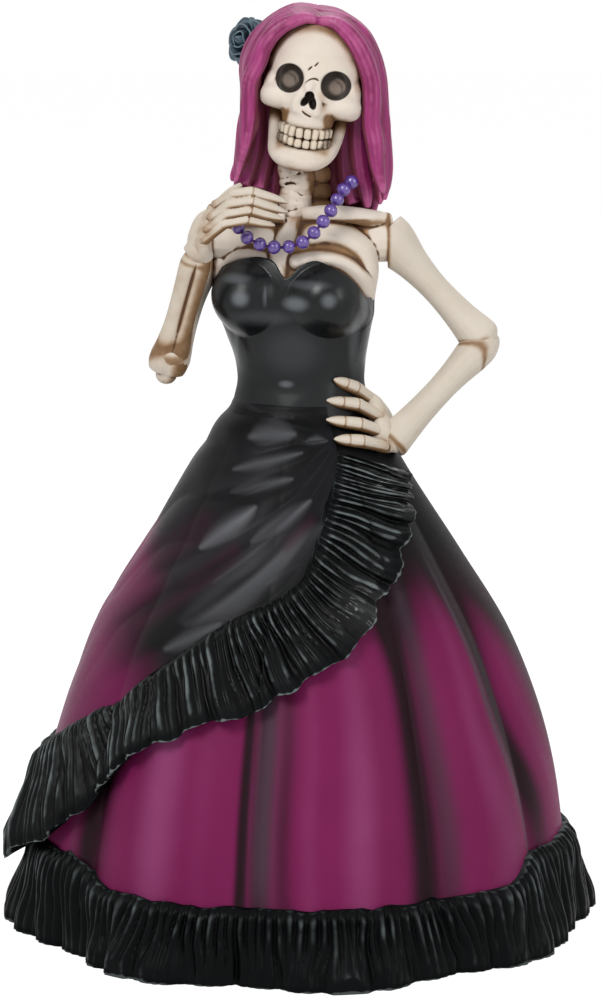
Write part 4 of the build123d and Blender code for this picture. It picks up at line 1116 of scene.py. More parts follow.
def make_skull():
    forms = [ball(*form, segments=48) for form in SKULL_BALLS[:3]]
    forms += [ball(*form) for form in SKULL_BALLS[3:]]
    forms.append(rods(SKULL_RODS, roundness=5))
    piece = fuse("skull_bone", forms, 0.5, 12)
    carve(
        piece,
        *[ball((x, -18.6, z), EYE_RADII) for x, z in EYES],
        *[ball((x, -19.4, z), radii, turn=(0, lean, 0)) for x, z, radii, lean in NOSE],
    )
    knead(piece, 0.36, 2)
    points = points_of(piece)
    x, y, z = points.T
    front = step_up(-y, 12, 15)
    # two frown nicks, the crease over the bridge of the nose and the one under it
    dent = bell(x + 0.2 - 0.6 * (z - 4.2), 0.4) * bell(z - 3.6, 0.8)
    dent += bell(x - 0.9 - 0.6 * (z - 4.6), 0.35) * bell(z - 5.0, 0.9)
    for crease, width, reach in (
        (z - (0.1 + 0.45 * x - 0.22 * (x - 0.4) ** 2), 0.32, 2.2),
        (z + 10.9 + 0.4 * x - 0.1 * (x - 0.6) ** 2, 0.45, 1.7),
    ):
        dent += bell(crease, width) * np.exp(-(((x - 0.6) / reach) ** 4))
    y += 0.6 * dent * front
    mould(piece, points)
    pit = np.zeros(len(points))
    for eye_x, eye_z in EYES:
        inside = (1 - step_up(np.hypot(x - eye_x, z - eye_z), 4.3, 5.1)) * step_up(-y, 3, 7)
        # painted light in the socket: a lighter ball at its back, with a painted highlight arc and
        # a painted shade arc over it
        middle = np.hypot(x - eye_x - 0.1, z - eye_z + 0.6)
        up_left = x - eye_x + z - eye_z
        floor = 0.62 * (1 - step_up(middle, 1.6, 3.0))
        floor += 0.5 * bell(middle - 2.6, 0.42) * step_up(up_left, 0.4, 2.6)
        floor -= 0.35 * bell(middle - 1.6, 0.4) * step_up(up_left, 0.0, 1.6)
        pit = np.maximum(pit, inside * (0.64 + 0.34 * np.clip(floor, 0, 1)))
    for nose_x, nose_z, radii, lean in NOSE:
        lean = radians(lean)
        aside, up = x - nose_x, z - nose_z
        lobe = np.hypot(
            (aside * cos(lean) - up * sin(lean)) / radii[0],
            (aside * sin(lean) + up * cos(lean)) / radii[2],
        )
        pit = np.maximum(pit, 0.6 * (1 - step_up(lobe, 0.95, 1.2)) * front)
    wash_and_shade = 0.8 * np.clip(dent, 0, 1) * front
    # brown wash and painted shade at the temples and along the hairline
    forward = step_up(-y, 0, 6)
    wash_and_shade += 0.8 * step_up(np.abs(x), 12.2, 14.6) * step_up(z, -7, 2) * forward
    wash_and_shade += 0.85 * step_up(np.hypot(x + 0.6, z - 2.4), 10.6, 14.0) * step_up(z, 3, 9) * forward
    # brown wash and painted shade beside the nose and under the cheekbones, and painted shade round
    # the roots of the teeth and in the mouth behind them
    wash_and_shade += 0.75 * near(points, [(4.4, -15.6, -4.6), (5.2, -15.4, -8.0), (6.6, -14.0, -11.0)], 2.8)
    wash_and_shade += 0.6 * near(points, [(-5.0, -15.0, -10.6), (-6.8, -13.6, -11.8)], 1.5)
    wash_and_shade += 0.95 * step_up(-z, 9.2, 12.0) * step_up(np.abs(x - 0.6), 4.8, 7.0)
    wash_and_shade += 0.9 * step_up(-z, 14.2, 16.0)
    to_head(piece)
    note_wash_and_shade(piece, wash_and_shade, pit)
    finish(piece, bone_paint("skull_bone_paint"), "bone_paint", "skull")


def make_jaw():
    forms = [rods(JAW_RODS, roundness=5)] + [ball(*form) for form in JAW_BALLS]
    piece = fuse("jaw_bone", forms, 0.36, 5)
    x, y, z = points_of(piece).T
    x = x - 0.8
    # painted shade inside the arch behind the teeth, along the top under the skull and under the
    # chin, over a light wash
    inner = step_up(9.2 - np.abs(x), 0, 2.2) * step_up(y, -13.2, -10.5)
    wash_and_shade = 0.26 + 0.9 * inner * step_up(z, -24.4, -22)
    wash_and_shade += 0.5 * step_up(z + 0.02 * x * x, -23.4, -21.0) * (1 - step_up(np.abs(x), 7.0, 10.5))
    wash_and_shade += 0.85 * step_up(z, -17.5, -11.5) + 0.5 * step_up(-z, 27.4, 29.2)
    to_head(piece)
    note_wash_and_shade(piece, wash_and_shade)
    finish(piece, bone_paint("jaw_bone_paint"), "bone_paint", "jaw")


def tooth_row(name, middle, tooth_height):
    """Rounded teeth side by side round the arch of the mouth, higher towards its corners."""
    chance = np.random.default_rng(int(tooth_height * 10))
    teeth = []
    turn = -sum(TOOTH_WIDTHS) / 2 / MOUTH_RADIUS
    for width in TOOTH_WIDTHS:
        centre = turn + width / 2 / MOUTH_RADIUS
        turn += width / MOUTH_RADIUS
        x = MOUTH_RADIUS * sin(centre)
        place = (
            MOUTH_MIDDLE[0] + x, MOUTH_MIDDLE[1] - MOUTH_RADIUS * cos(centre),
            middle + MOUTH_CURVE * x * x,
        )
        sizes = (width - TOOTH_GAP, 2.4, tooth_height * chance.uniform(0.88, 1.1))
        teeth.append(block(place, sizes, (0, chance.uniform(-5, 5), np.degrees(centre)), 0.85))
    piece = join(name, *teeth)
    modify(piece, "SUBSURF", levels=1, render_levels=1)
    return piece


def make_teeth():
    for node, middle, size, root_way in (
        ("upper_teeth", -17.3, 3.6, 1), ("lower_teeth", -20.6, 3.0, -1),
    ):
        piece = tooth_row(node + "_row", middle, size)
        x, _, z = points_of(piece).T
        x = np.abs(x - MOUTH_MIDDLE[0])
        to_root = root_way * (z - middle - MOUTH_CURVE * x**2)
        # brown wash and painted shade at the roots and along the biting edges; painted shade
        # towards the corners of the mouth and over the whole lower row
        root = step_up(to_root, 0.3, 1.6) * 0.75 + 0.5 * step_up(-to_root, size * 0.36, size * 0.5)
        side = 0.75 * step_up(x, 4.4, 7.8) + (0.25 if root_way < 0 else 0)
        to_head(piece)
        note(piece, "wash_and_shade", np.clip(root + side, 0, 1))
        note(piece, "crest", relief(piece, 2))
        shade_smooth(piece)
        finish(piece, tooth_paint(), "tooth_paint", node)


def tooth_paint():
    paint = Paint("tooth_ivory", Specular_IOR_Level=0.5)
    blotch = paint.grain(420, 3)
    # brown wash, random stains and painted shade, darker in the grooves
    stains_and_shade = paint.noted("wash_and_shade") + 0.6 * (blotch - 0.5) - 6 * paint.noted("crest")
    ivory = paint.mix(paint.ease(stains_and_shade, 0.2, 1.0), colour(216, 202, 182), colour(78, 54, 32))
    paint.give(Base_Color=ivory, Roughness=0.32 + 0.2 * blotch)
    paint.bump(blotch, 0.00008, 0.3)
    return paint


def make_neck():
    """A ringed throat in front of the neck bones."""
    chance = np.random.default_rng(12)
    rings = []
    for index in range(9):
        z = 232.6 + 2.8 * index + chance.uniform(-0.3, 0.3)
        wide = chance.uniform(-0.35, 0.35)
        rings.append([
            (-1.3 + chance.uniform(-0.5, 0.5), -2.4, z + rise, radius + wide)
            for rise, radius in ((-1.4, 5.0), (-0.8, 5.5), (0.5, 5.6), (1.1, 5.0))
        ])
    for index in range(5):
        rings.append([
            (4.6, 1.4, 234 + 5.4 * index + rise, radius)
            for rise, radius in ((-2.5, 4.4), (-1.4, 5.3), (1.0, 5.3), (2.2, 4.4))
        ])
    cores = [
        [(-1.2, -2, 230, 4.8), (-1.2, -2, 256, 4.6)], [(3.6, 1.2, 230, 4.6), (3.6, 1.2, 262, 4.4)],
    ]
    piece = fuse("neck_bone", [rods(rings, roundness=6, cuts=3), rods(cores)], 0.4, 3)
    x, y, z = points_of(piece).T
    # painted shade down the neck's side towards the figure's left, at its other edge and under the
    # head, over a light wash with random brown
    wash_and_shade = 0.2 + 0.95 * step_up(x + 0.25 * (z - 244), 0.4, 3.6) + 0.4 * step_up(z, 248, 253)
    wash_and_shade += 0.4 * step_up(-x, 5.2, 7.0)
    wash_and_shade += 0.35 * np.clip(cloth_noise(x / 1.6 + 30, z / 1.2 - 150, 97, 13), 0, 1)
    note_wash_and_shade(piece, wash_and_shade)
    finish(piece, bone_paint("neck_bone_paint"), "bone_paint", "neck")


# ---------------------------------------------------------------- hair
# Guides the hair is laid along, from the parting to the ends
LEFT_HAIR = [
    [(5.4, -11.5, 294.4), (11.6, -13.0, 293.6), (16.8, -13.4, 289.2), (19.8, -13.0, 283),
     (21.8, -12.2, 276), (22.9, -11.2, 269.5), (23.0, -10.6, 262.5), (23.3, -10.4, 256),
     (24.2, -10, 248), (25.6, -9.6, 242), (26.8, -9, 237)],
    [(5.4, -4, 297.0), (12.2, -4.5, 295.2), (18.6, -5, 290.4), (22.4, -5, 284), (24.2, -4.6, 277),
     (24.8, -4.5, 270), (25.8, -4.5, 262), (26.8, -4.6, 255), (27.9, -5, 247), (28.0, -5.4, 241),
     (27.4, -5.6, 237)],
    [(5.0, 3, 297.6), (12, 4, 295.4), (19, 5.4, 289.6), (22.6, 6.4, 282), (23, 7, 272),
     (22.4, 8, 262), (21, 10, 252), (19.6, 11.6, 242), (18, 13, 232), (16, 14.5, 222),
     (14, 16, 213)],
    [(4.8, 9, 296.6), (10, 12, 293.2), (15, 15.2, 286), (17, 17, 277), (16, 17.6, 266),
     (14, 18, 254), (12.4, 18.6, 242), (11, 19, 230), (10, 19.6, 220), (9, 20, 212),
     (8.6, 20.2, 210.6)],
]
RIGHT_HAIR = [
    [(5.6, -11.5, 294.4), (0.4, -13.2, 295.2), (-5.8, -13.6, 292.6), (-10.6, -13.2, 287.4),
     (-13.6, -12.8, 281.6), (-15.6, -12, 275.5), (-16.2, -11, 269.5), (-16.2, -10.6, 263.5),
     (-17.4, -10.4, 256.5), (-18.8, -10, 249.5), (-20.2, -9.6, 243.0)],
    [(5.2, -4, 297.6), (-1.6, -4.4, 297.6), (-8.8, -5, 293.4), (-13.8, -5.2, 287.4),
     (-16.2, -5, 281), (-16.6, -4.8, 274), (-16.6, -4.8, 266), (-17.8, -5, 258), (-19.4, -5.6, 250),
     (-21.2, -6, 245), (-22.0, -6, 242.4)],
    [(4.6, 3, 298.0), (-3, 4, 297.0), (-10.6, 5.4, 291.8), (-15, 6.4, 284.4), (-16, 7, 275),
     (-16, 8, 265), (-15.6, 10, 254), (-15, 11.6, 243), (-14.4, 13, 232), (-13.6, 14.5, 222),
     (-12, 16, 213)],
    [(4.4, 9, 297.0), (-1.5, 12, 294.8), (-7, 15.2, 288), (-9.4, 17, 279), (-9.6, 17.6, 268),
     (-9.6, 18, 256), (-9.6, 18.6, 243), (-9.4, 19, 231), (-9, 19.6, 220), (-8.6, 20, 212),
     (-8.4, 20, 210.6)],
]
BACK_HAIR = [(4.4, 12, 294.6), (4.6, 15.6, 291.2), (4.6, 18.6, 284), (4.4, 19.4, 274),
             (3.6, 19.6, 262), (2.6, 19.8, 250), (1.6, 20, 240), (0.6, 20.1, 228), (0.2, 20.2, 218),
             (0, 20.3, 211), (0, 20.3, 210.4)]
# Locks that lie in the shade beside the jaw and the neck: x, y, z and radius of their stations
SHADED_HAIR = [
    [(14.6, -3, 286, 2.8), (17.4, -2.4, 276, 3.1), (18.6, -1.8, 266, 3.2), (18.6, -1.2, 256, 3.3),
     (19.4, -1.6, 247, 3.2), (21.0, -2.6, 239, 2.6), (21.6, -2.8, 234, 1.2)],
    [(13.0, 0, 284, 2.8), (15.0, 0.6, 272, 3.2), (15.0, 1.0, 260, 3.4), (14.6, 1.2, 250, 3.4),
     (15.4, 0.8, 242, 3.2), (17.0, 0.2, 235, 2.4)],
    [(10.0, 5, 282, 2.8), (12.0, 5, 268, 3.4), (11.8, 5, 256, 3.6), (11.4, 5, 244, 3.6),
     (12.4, 5, 235, 3.0)],
    [(17.0, 4, 280, 3.0), (18.6, 4.4, 268, 3.4), (18.4, 4.8, 256, 3.5), (18.4, 4.8, 245, 3.4),
     (19.0, 4.6, 236, 2.4)],
    [(-10.8, -2, 286, 2.6), (-13.6, -1.6, 276, 2.9), (-14.2, -1.4, 266, 3.1),
     (-14.6, -1.0, 256, 3.2), (-16.2, -1.6, 248, 3.0), (-18.0, -2.8, 241.4, 2.0)],
    [(-7.6, 1, 284, 2.8), (-10.8, 1.4, 272, 3.2), (-11.2, 2, 260, 3.4), (-11.8, 2, 250, 3.4),
     (-13.4, 1, 240, 2.8)],
    [(-5.0, 6, 282, 2.8), (-7.8, 6, 268, 3.4), (-8.2, 6.2, 256, 3.6), (-8.4, 6.2, 244, 3.6),
     (-9.4, 6.4, 235, 3.0)],
]
LOCKS_PER_SIDE = 25
HAIR_MIDDLE = (3.5, 1.0)
PARTING = 5.0
HAIR_CUT_HEIGHT = 281           # above this the hair is all one cap
HAIR_CUT_DEPTH = 6.0            # behind this it is the back fall


def hair_locks(guides, seed):
    """Locks of hair laid side by side between the guides, each swelling and tapering."""
    keys = np.array(guides, float)
    chance = np.random.default_rng(seed)
    locks = []
    for index in range(LOCKS_PER_SIDE):
        place = index / (LOCKS_PER_SIDE - 1) * (len(keys) - 1)
        low = min(int(place), len(keys) - 2)
        blend = place - low
        line = keys[low] * (1 - blend) + keys[low + 1] * blend
        size = chance.uniform(0.7, 1.14)
        sway = chance.uniform(-0.7, 0.7, (len(line), 3)) * [0.7, 0.7, 0]
        stations = []
        for station, point in enumerate(line + sway):
            share = station / (len(line) - 1)
            swell = 1.5 + 1.5 * sin(pi * min(share * 1.5, 0.5))
            taper = 1 - 0.75 * max(0, share - 0.72) / 0.28
            if station == len(line) - 1:
                # the locks end at uneven heights
                last = np.array(stations[-1][:3])
                point = last + (point - last) * chance.uniform(0.35, 1.05)
            stations.append((*point, max(swell * taper * size, 0.4)))
        locks.append(stations)
    return locks


def make_hair():
    """One head of hair, cut into the cap with its back fall and the two side falls."""
    locks = hair_locks(LEFT_HAIR + [BACK_HAIR], 5) + hair_locks(RIGHT_HAIR + [BACK_HAIR], 6)
    whole = fuse("hair", [rods(locks + SHADED_HAIR, roundness=3, cuts=4)], 0.44, 2)
    points = points_of(whole)
    out = points[:, :2] - HAIR_MIDDLE
    out /= np.linalg.norm(out, axis=1)[:, None] + 1e-6
    facing = (out * normals_of(whole)[:, :2]).sum(axis=1)
    # hair that faces in towards the head is painted in shade
    inner = step_up(-facing, -0.25, 0.45) * (1 - step_up(points[:, 2], 288, 294))
    note(whole, "inner", inner)
    crest = relief(whole, 8)
    note(whole, "crest", np.clip(crest / crest.std(), -3, 3))
    under = ((0, 0, HAIR_CUT_HEIGHT), (0, 0, 1))
    over = ((0, 0, HAIR_CUT_HEIGHT), (0, 0, -1))
    front = ((0, HAIR_CUT_DEPTH, 0), (0, 1, 0))
    rear = ((0, HAIR_CUT_DEPTH, 0), (0, -1, 0))
    parts = {
        "hair_left": part_of(whole, under, front, ((PARTING, 0, 0), (-1, 0, 0))),
        "hair_right": part_of(whole, under, front, ((PARTING, 0, 0), (1, 0, 0))),
        "hair_back": join("back", part_of(whole, over), part_of(whole, under, rear)),
    }
    bpy.data.objects.remove(whole)
    paint = hair_paint()
    for node, part in parts.items():
        call(part, node + "_locks")
        shade_smooth(part, 60)
        finish(part, paint, "hair_paint", node)


def part_of(piece, *cuts):
    """A copy of a piece, cut at planes, each given as a place on it and the way out from there."""
    part = copy_of(piece)
    for place, facing_out in cuts:
        halve(part, place, facing_out)
    return part


def halve(piece, place, facing_out):
    """Cuts a piece at a plane, throws away what lies outside it, and closes the cut."""
    take(piece)
    bpy.ops.object.mode_set(mode="EDIT")
    bpy.ops.mesh.select_all(action="SELECT")
    bpy.ops.mesh.bisect(
        plane_co=Vector(place) * MM, plane_no=facing_out, clear_outer=True, use_fill=True
    )
    bpy.ops.object.mode_set(mode="OBJECT")


def hair_paint():
    paint = Paint("hair_magenta", Specular_IOR_Level=0.3, Coat_Weight=0.06, Coat_Roughness=0.25)
    crest = paint.noted("crest")
    cloud = paint.grain(42, 3)
    strands = paint.grain(300, 3, stretch=(1, 1, 0.06), rough=0.6)
    pink = paint.mix(paint.ease(strands, 0.35, 0.65), colour(124, 32, 82), colour(156, 50, 112))
    # painted highlights on the crests of the locks
    crest_highlight = paint.ease(crest + 2.4 * (cloud - 0.5), 0.5, 2.2)
    lit = paint.mix(crest_highlight, pink, colour(186, 92, 142))
    # painted shade in the grooves between the strands
    grooved = paint.ease(crest + 0.6 * (strands - 0.5), -0.2, -1.8)
    groove = paint.mix(grooved, lit, colour(108, 32, 62))
    # painted shade on the hair that faces in towards the head
    shaded = paint.ease(paint.noted("inner") + 0.3 * (cloud - 0.5), 0.3, 1.0)
    dark = paint.mix(shaded, groove, colour(120, 52, 72))
    paint.give(Base_Color=dark, Roughness=0.34 + 0.2 * strands)
    paint.bump(strands, 0.00035, 0.5)
    return paint


# ---------------------------------------------------------------- rose
ROSE_PLACE = (-17.6, 3.4, 287.2)
ROSE_AIM = (-0.72, -0.66, 0.22)
ROSE_SCALE = 0.86
ROSE_HEART = [(0, 0, -1, 1.6), (0, 0, 2.0, 1.9), (0, 0, 4.6, 1.2), (0.2, 0, 5.6, 0.6)]
# Rings of petals: how many; their size, curl and cup; how far out; how splayed; the first's angle
ROSE_RINGS = [
    (3, 5.4, 0.3, 1.3, 1.4, 12, 0), (5, 6.2, 0.9, 1.5, 2.3, 32, 40),
    (6, 7.2, 1.9, 1.6, 3.1, 58, 15), (7, 7.4, 2.2, 1.4, 3.4, 78, 40),
]


def petal(size, curl, cup):
    """One petal: a small sheet, drawn in at its foot, cupped and rolled back at its lip."""
    piece, across, rise = sheet("petal", 14, 12)
    side = across * 2 - 1
    width = np.sin(np.clip(rise * 2.2 + 0.35, 0, pi * 0.92)) ** 0.6
    x = side * width * size * 0.62
    y = -cup * (1 - side**2) * np.sin(rise * pi * 0.8) + 0.12 * np.sin(side * 5 + rise * 3)
    y -= curl * step_up(rise, 0.72, 1.0) ** 1.5
    z = rise * size * (1 - 0.16 * side**2)
    mould(piece, np.stack([x, y, z], axis=1))
    modify(piece, "SOLIDIFY", thickness=0.55 * MM, offset=0)
    return piece


def make_rose():
    """A rose of turned petals round a rolled heart, in its own frame, then set on the hair."""
    petals = [rods([ROSE_HEART])]
    for count, size, curl, cup, stand, splay, start in ROSE_RINGS:
        pattern = petal(size, curl, cup)
        for index in range(count):
            copy = copy_of(pattern)
            copy.matrix_world = (
                Matrix.Rotation(radians(start + 360 * index / count), 4, "Z")
                @ Matrix.Translation(Vector((0, -stand * 0.55, -0.8)) * MM)
                @ Matrix.Rotation(radians(splay), 4, "X")
            )
            petals.append(settle(copy))
        bpy.data.objects.remove(pattern)
    piece = join("hair_flower_rose", *petals)
    place = Matrix.Translation(Vector(ROSE_PLACE) * MM)
    aim = Vector(ROSE_AIM).to_track_quat("Z", "Y").to_matrix().to_4x4()
    piece.matrix_world = place @ aim @ Matrix.Scale(ROSE_SCALE, 4)
    settle(piece)
    note(piece, "crest", relief(piece, 3))
    shade_smooth(piece, 60)
    finish(piece, rose_paint(), "rose_paint", "hair_flower")


def rose_paint():
    paint = Paint("rose_slate")
    crest = paint.noted("crest")
    cloud = paint.grain(220, 3)
    speck = paint.grain(900, 2)
    base = paint.mix(cloud, colour(28, 40, 50), colour(52, 70, 82))
    # painted highlights on the petals' edges and painted shade between them
    edge = paint.mix(paint.ease(crest, 0.02, 0.22), base, colour(88, 108, 120))
    deep = paint.mix(paint.ease(crest, -0.02, -0.2), edge, colour(22, 30, 38))
    paint.give(Base_Color=deep, Roughness=0.4 + 0.2 * speck)
    paint.bump(cloud + speck, 0.0001, 0.35)
    return paint


# ---------------------------------------------------------------- arms and hands
LIMB_PALE = (198, 186, 168)
LIMB_LIGHT = (222, 212, 199)
SHOULDER_HEIGHT = 224.2
# An upper arm: share of the way from shoulder to elbow, and radius
UPPER_ARM = [
    (-0.05, 7.7), (0.03, 8.0), (0.12, 7.3), (0.26, 5.7), (0.45, 4.7), (0.62, 4.8), (0.78, 5.5),
    (0.88, 6.3), (0.95, 6.7), (0.99, 6.2), (1.03, 4.6),
]
# A forearm's two bones: share of the way to the wrist, radius, and half the space between them
LEFT_FOREARM = [
    (-0.06, 4.4, 0.8), (0.03, 5.9, 0.8), (0.14, 5.9, 0.8), (0.32, 4.9, 0.8), (0.5, 4.5, 0.8),
    (0.72, 4.8, 0.8), (0.9, 5.6, 0.8), (1.0, 6.0, 0.8), (1.03, 5.6, 0.8),
]
RIGHT_FOREARM = [
    (-0.06, 4.4, 1.6), (0.03, 5.0, 1.6), (0.16, 4.2, 1.5), (0.4, 3.1, 1.7), (0.7, 3.0, 1.9),
    (0.88, 3.4, 1.7), (0.96, 3.0, 1.4), (0.99, 2.0, 1.2),
]


def bone_rod(start, end, shape):
    """Stations of a rod between two places. The shape is each one's share of the way and radius."""
    start, end = np.array(start, float), np.array(end, float)
    return [(*(start + (end - start) * share), radius) for share, radius in shape]


def gap_to_axis(points, start, end):
    """How far along an axis each point lies, and how far out from it."""
    way = (end - start) / np.linalg.norm(end - start)
    along = (points - start) @ way
    return along, np.linalg.norm(points - start - along[:, None] * way, axis=1)


def finish_limb(piece, node):
    finish(piece, bone_paint(node + "_paint", LIMB_PALE, LIMB_LIGHT), "bone_paint", node)


def make_arm(side, elbow, wrist, across, shape):
    """An upper arm and a forearm, whose two bones lie side by side in the across direction."""
    way = 1 if side == "left" else -1
    shoulder = np.array([way * SHOULDER_SEAM, 1.0, SHOULDER_HEIGHT])
    elbow, wrist, across = (np.array(point, float) for point in (elbow, wrist, across))
    upper = rods([bone_rod(shoulder, elbow, UPPER_ARM)], roundness=7)
    humerus = fuse(side + "_humerus_bone", [upper], 0.5, 4)
    halve(humerus, (way * SHOULDER_SEAM, 0, 0), (-way, 0, 0))
    points = points_of(humerus)
    along, out = gap_to_axis(points, elbow, wrist)
    wash_and_shade = 0.9 * bell(np.abs(points[:, 0]) - SHOULDER_SEAM, 0.9)
    wash_and_shade += 0.9 * bell(out - shape[1][1] - 0.3, 0.9) * step_up(along, -3, 1)
    # painted shade towards the back
    wash_and_shade += 0.35 * step_up(points[:, 1], 1, 7)
    note_wash_and_shade(humerus, wash_and_shade)
    finish_limb(humerus, side + "_humerus")

    length = np.linalg.norm(wrist - elbow)
    along = (wrist - elbow) / length
    across -= along * (across @ along)
    across /= np.linalg.norm(across)
    shafts = [
        [(*(elbow + along * (length * share) + across * (lean * spread)), radius)
         for share, radius, spread in shape]
        for lean in (-1, 1)
    ]
    knob = elbow - along * 2.2 + np.array([0, 0, -1.4])
    forms = [rods(shafts, roundness=6), ball(knob, (3.6, 3.4, 3.4))]
    forearm = fuse(side + "_forearm_bone", forms, 0.45, 5)
    points = points_of(forearm)
    spread = (points - elbow) @ across
    reach = (points - elbow) @ along
    out = gap_to_axis(points, shoulder, elbow)[1]
    wash_and_shade = 0.15 + 0.85 * bell(reach - length, 1.1) + 0.8 * bell(out - 7.2, 0.9)
    if side == "right":
        # the groove between the bones, the bone in shade and a ring before the wrist
        groove = bell(spread, 0.7) * step_up(reach, 0.22 * length, 0.42 * length)
        wash_and_shade += 0.8 * groove * (1 - step_up(reach, 0.86 * length, 0.93 * length))
        wash_and_shade += 0.2 + 0.6 * step_up(spread, 0.0, 3.4) + 0.5 * bell(reach - length + 3.4, 0.7)
    note_wash_and_shade(forearm, wash_and_shade)
    finish_limb(forearm, side + "_forearm")


def finger_path(joints, thick):
    """A finger from knuckle to pointed tip, waisted between its joints."""
    path = []
    for start, end in zip(joints, joints[1:]):
        shape = [(0.04, 1.03), (0.45, 0.97), (0.9, 1.03)]
        if end is joints[-1]:
            shape = [(0.06, 1.05), (0.42, 0.96), (0.66, 0.84), (0.86, 0.54), (1.0, 0.16)]
        path += bone_rod(start, end, [(share, thick * width) for share, width in shape])
    return path


def ring_mark(points, start, end, share):
    """A narrow line round a finger at a share of the way between two of its joints."""
    start, end = np.array(start, float), np.array(end, float)
    along, out = gap_to_axis(points, start + (end - start) * share, end)
    return bell(along, 0.32) * (out < 2.6)


def waist_y(x, z, stand_off):
    """Depth of a point that rides on the front of the waist."""
    if z < WAIST:
        half_width = float(eased(z, SKIRT_HEIGHTS, SKIRT_RADII))
        half_depth = half_width * float(eased(z, SKIRT_HEIGHTS, SKIRT_ROUNDNESS))
        stand_off += WRAP_STAND
    else:
        half_width = float(eased(z, CHEST_HEIGHTS, CHEST_HALF_WIDTHS)) + BODICE_WALL
        half_depth = float(eased(z, CHEST_HEIGHTS, CHEST_HALF_DEPTHS)) + BODICE_WALL
    share = min(abs(x) / (half_width + stand_off), 0.985)
    return -(half_depth + stand_off) * sqrt(1 - share**2)


# Joints of the fingers from knuckle to tip; those of the left hand ride on the waist
LEFT_FINGERS = [
    [(24.8, 170.6), (18.0, 176.4), (10.8, 180.0)],
    [(26.2, 166.4), (18.6, 171.4), (8.4, 173.4)],
    [(27.2, 162.0), (19.4, 165.6), (8.3, 167.8)],
    [(27.8, 157.9), (20.0, 160.6), (10.8, 162.0)],
]
RIGHT_FINGERS = [
    [(-27.4, -27.2, 236.6), (-21.2, -31.0, 240.9), (-15.6, -32.0, 241.6), (-3.8, -28.4, 237.8)],
    [(-28.8, -27.8, 232.6), (-22.2, -31.6, 237.8), (-15.6, -32.6, 238.7), (-4.2, -28.8, 234.8)],
    [(-30.2, -27.6, 228.8), (-23.0, -31.4, 234.6), (-16.0, -32.5, 235.8), (-5.4, -28.8, 232.6)],
    [(-31.0, -27.0, 225.4), (-24.0, -30.8, 231.4), (-17.0, -31.8, 232.8), (-8.0, -28.6, 230.6)],
]
LEFT_THUMB = [
    (29.4, -9.0, 161.5, 2.2), (28.8, -2.0, 164.0, 2.0), (27.4, 3.5, 166.6, 1.9),
    (24.6, 9.5, 169.4, 1.6), (21.8, 14.0, 171.4, 0.7),
]
RIGHT_THUMB = [
    (-31.2, -23.0, 226.0, 2.2), (-28.6, -21.6, 232.6, 2.0), (-25.0, -21.0, 237.6, 1.8),
    (-21.6, -20.0, 241.0, 1.4), (-18.8, -19.6, 243.0, 0.7),
]
# The heels of the hands: place, radii and turn of each mass
LEFT_HEEL = [
    ((26.6, -13.6, 161.2), (4.0, 3.6, 5.8), (0, -6, 0)),
    ((24.6, -8.4, 168.6), (3.2, 3.4, 5.0), (0, -10, 0)),
]
RIGHT_HEEL = [
    ((-32.4, -22.2, 222.6), (4.2, 3.6, 4.4), (0, 0, 0)),
    ((-30.6, -23.8, 229.4), (4.2, 3.4, 6.4), (0, 26, 0)),
]


def make_hand(side, fingers, thumb, wrist, heel, thick, palm_step, marks):
    """A hand's bones: four fingers, ringed at their marks, and a palm spread from the wrist."""
    paths = [finger_path(finger, thick) for finger in fingers]
    digits = fuse(side + "_fingers_bone", [rods(paths, roundness=5)], 0.22, 2)
    wrist = np.array(wrist, float)
    roots = [np.array(finger[0], float) for finger in fingers]
    palm = []
    for index, root in enumerate(roots):
        start = wrist + np.array(palm_step) * (index - 1.5)
        middle = (start + root) / 2 + np.array([0, -1.0, 0])
        knuckle = middle + (root - middle) * 0.75
        palm.append([(*start, 2.7), (*middle, 2.0), (*knuckle, 1.9), (*root, thick * 1.1)])
    masses = [ball(*mass) for mass in heel]
    hand = fuse(side + "_hand_bone", [rods(palm + [thumb], roundness=5), *masses], 0.26, 3)
    points = points_of(digits)
    facing = normals_of(digits)[:, 2]
    # painted shade where the fingers face down, and a little where they face straight up
    wash_and_shade = 0.2 + 0.9 * step_up(-facing, 0.15, 0.8) + 0.35 * step_up(facing, 0.8, 1.0)
    for finger in fingers:
        for share in marks:
            wash_and_shade += 0.6 * ring_mark(points, finger[-2], finger[-1], share)
    # painted shade between the fingers at their knuckles
    note_wash_and_shade(digits, wash_and_shade + 0.7 * near(points, roots, 3.4))
    finish_limb(digits, side + "_fingers")
    points = points_of(hand)
    # dark at the wrist joint and painted shade between the knuckles
    note_wash_and_shade(hand, 0.2 + 0.5 * near(points, [wrist], 3.4) + 0.45 * near(points, roots, 3.2))
    finish_limb(hand, side + "_hand")


def make_arms():
    make_arm("left", (60.0, -2.0, 190.2), (29.8, -10.8, 158.8), (0.2, 1, 0), LEFT_FOREARM)
    make_arm("right", (-43.0, -9.0, 184.0), (-32.6, -21.0, 221.0), (1, 0, 0), RIGHT_FOREARM)
    make_hand(
        "left", [[(x, waist_y(x, z, 2.1), z) for x, z in finger] for finger in LEFT_FINGERS],
        LEFT_THUMB, (30.0, -11.2, 160.0), LEFT_HEEL,
        thick=2.15, palm_step=(1.2, 0, -1.6), marks=(0.02, 0.5),
    )
    make_hand(
        "right", RIGHT_FINGERS, RIGHT_THUMB, (-32.6, -21.6, 221.0), RIGHT_HEEL,
        thick=1.68, palm_step=(1.5, 0, -0.5), marks=(0.02,),
    )


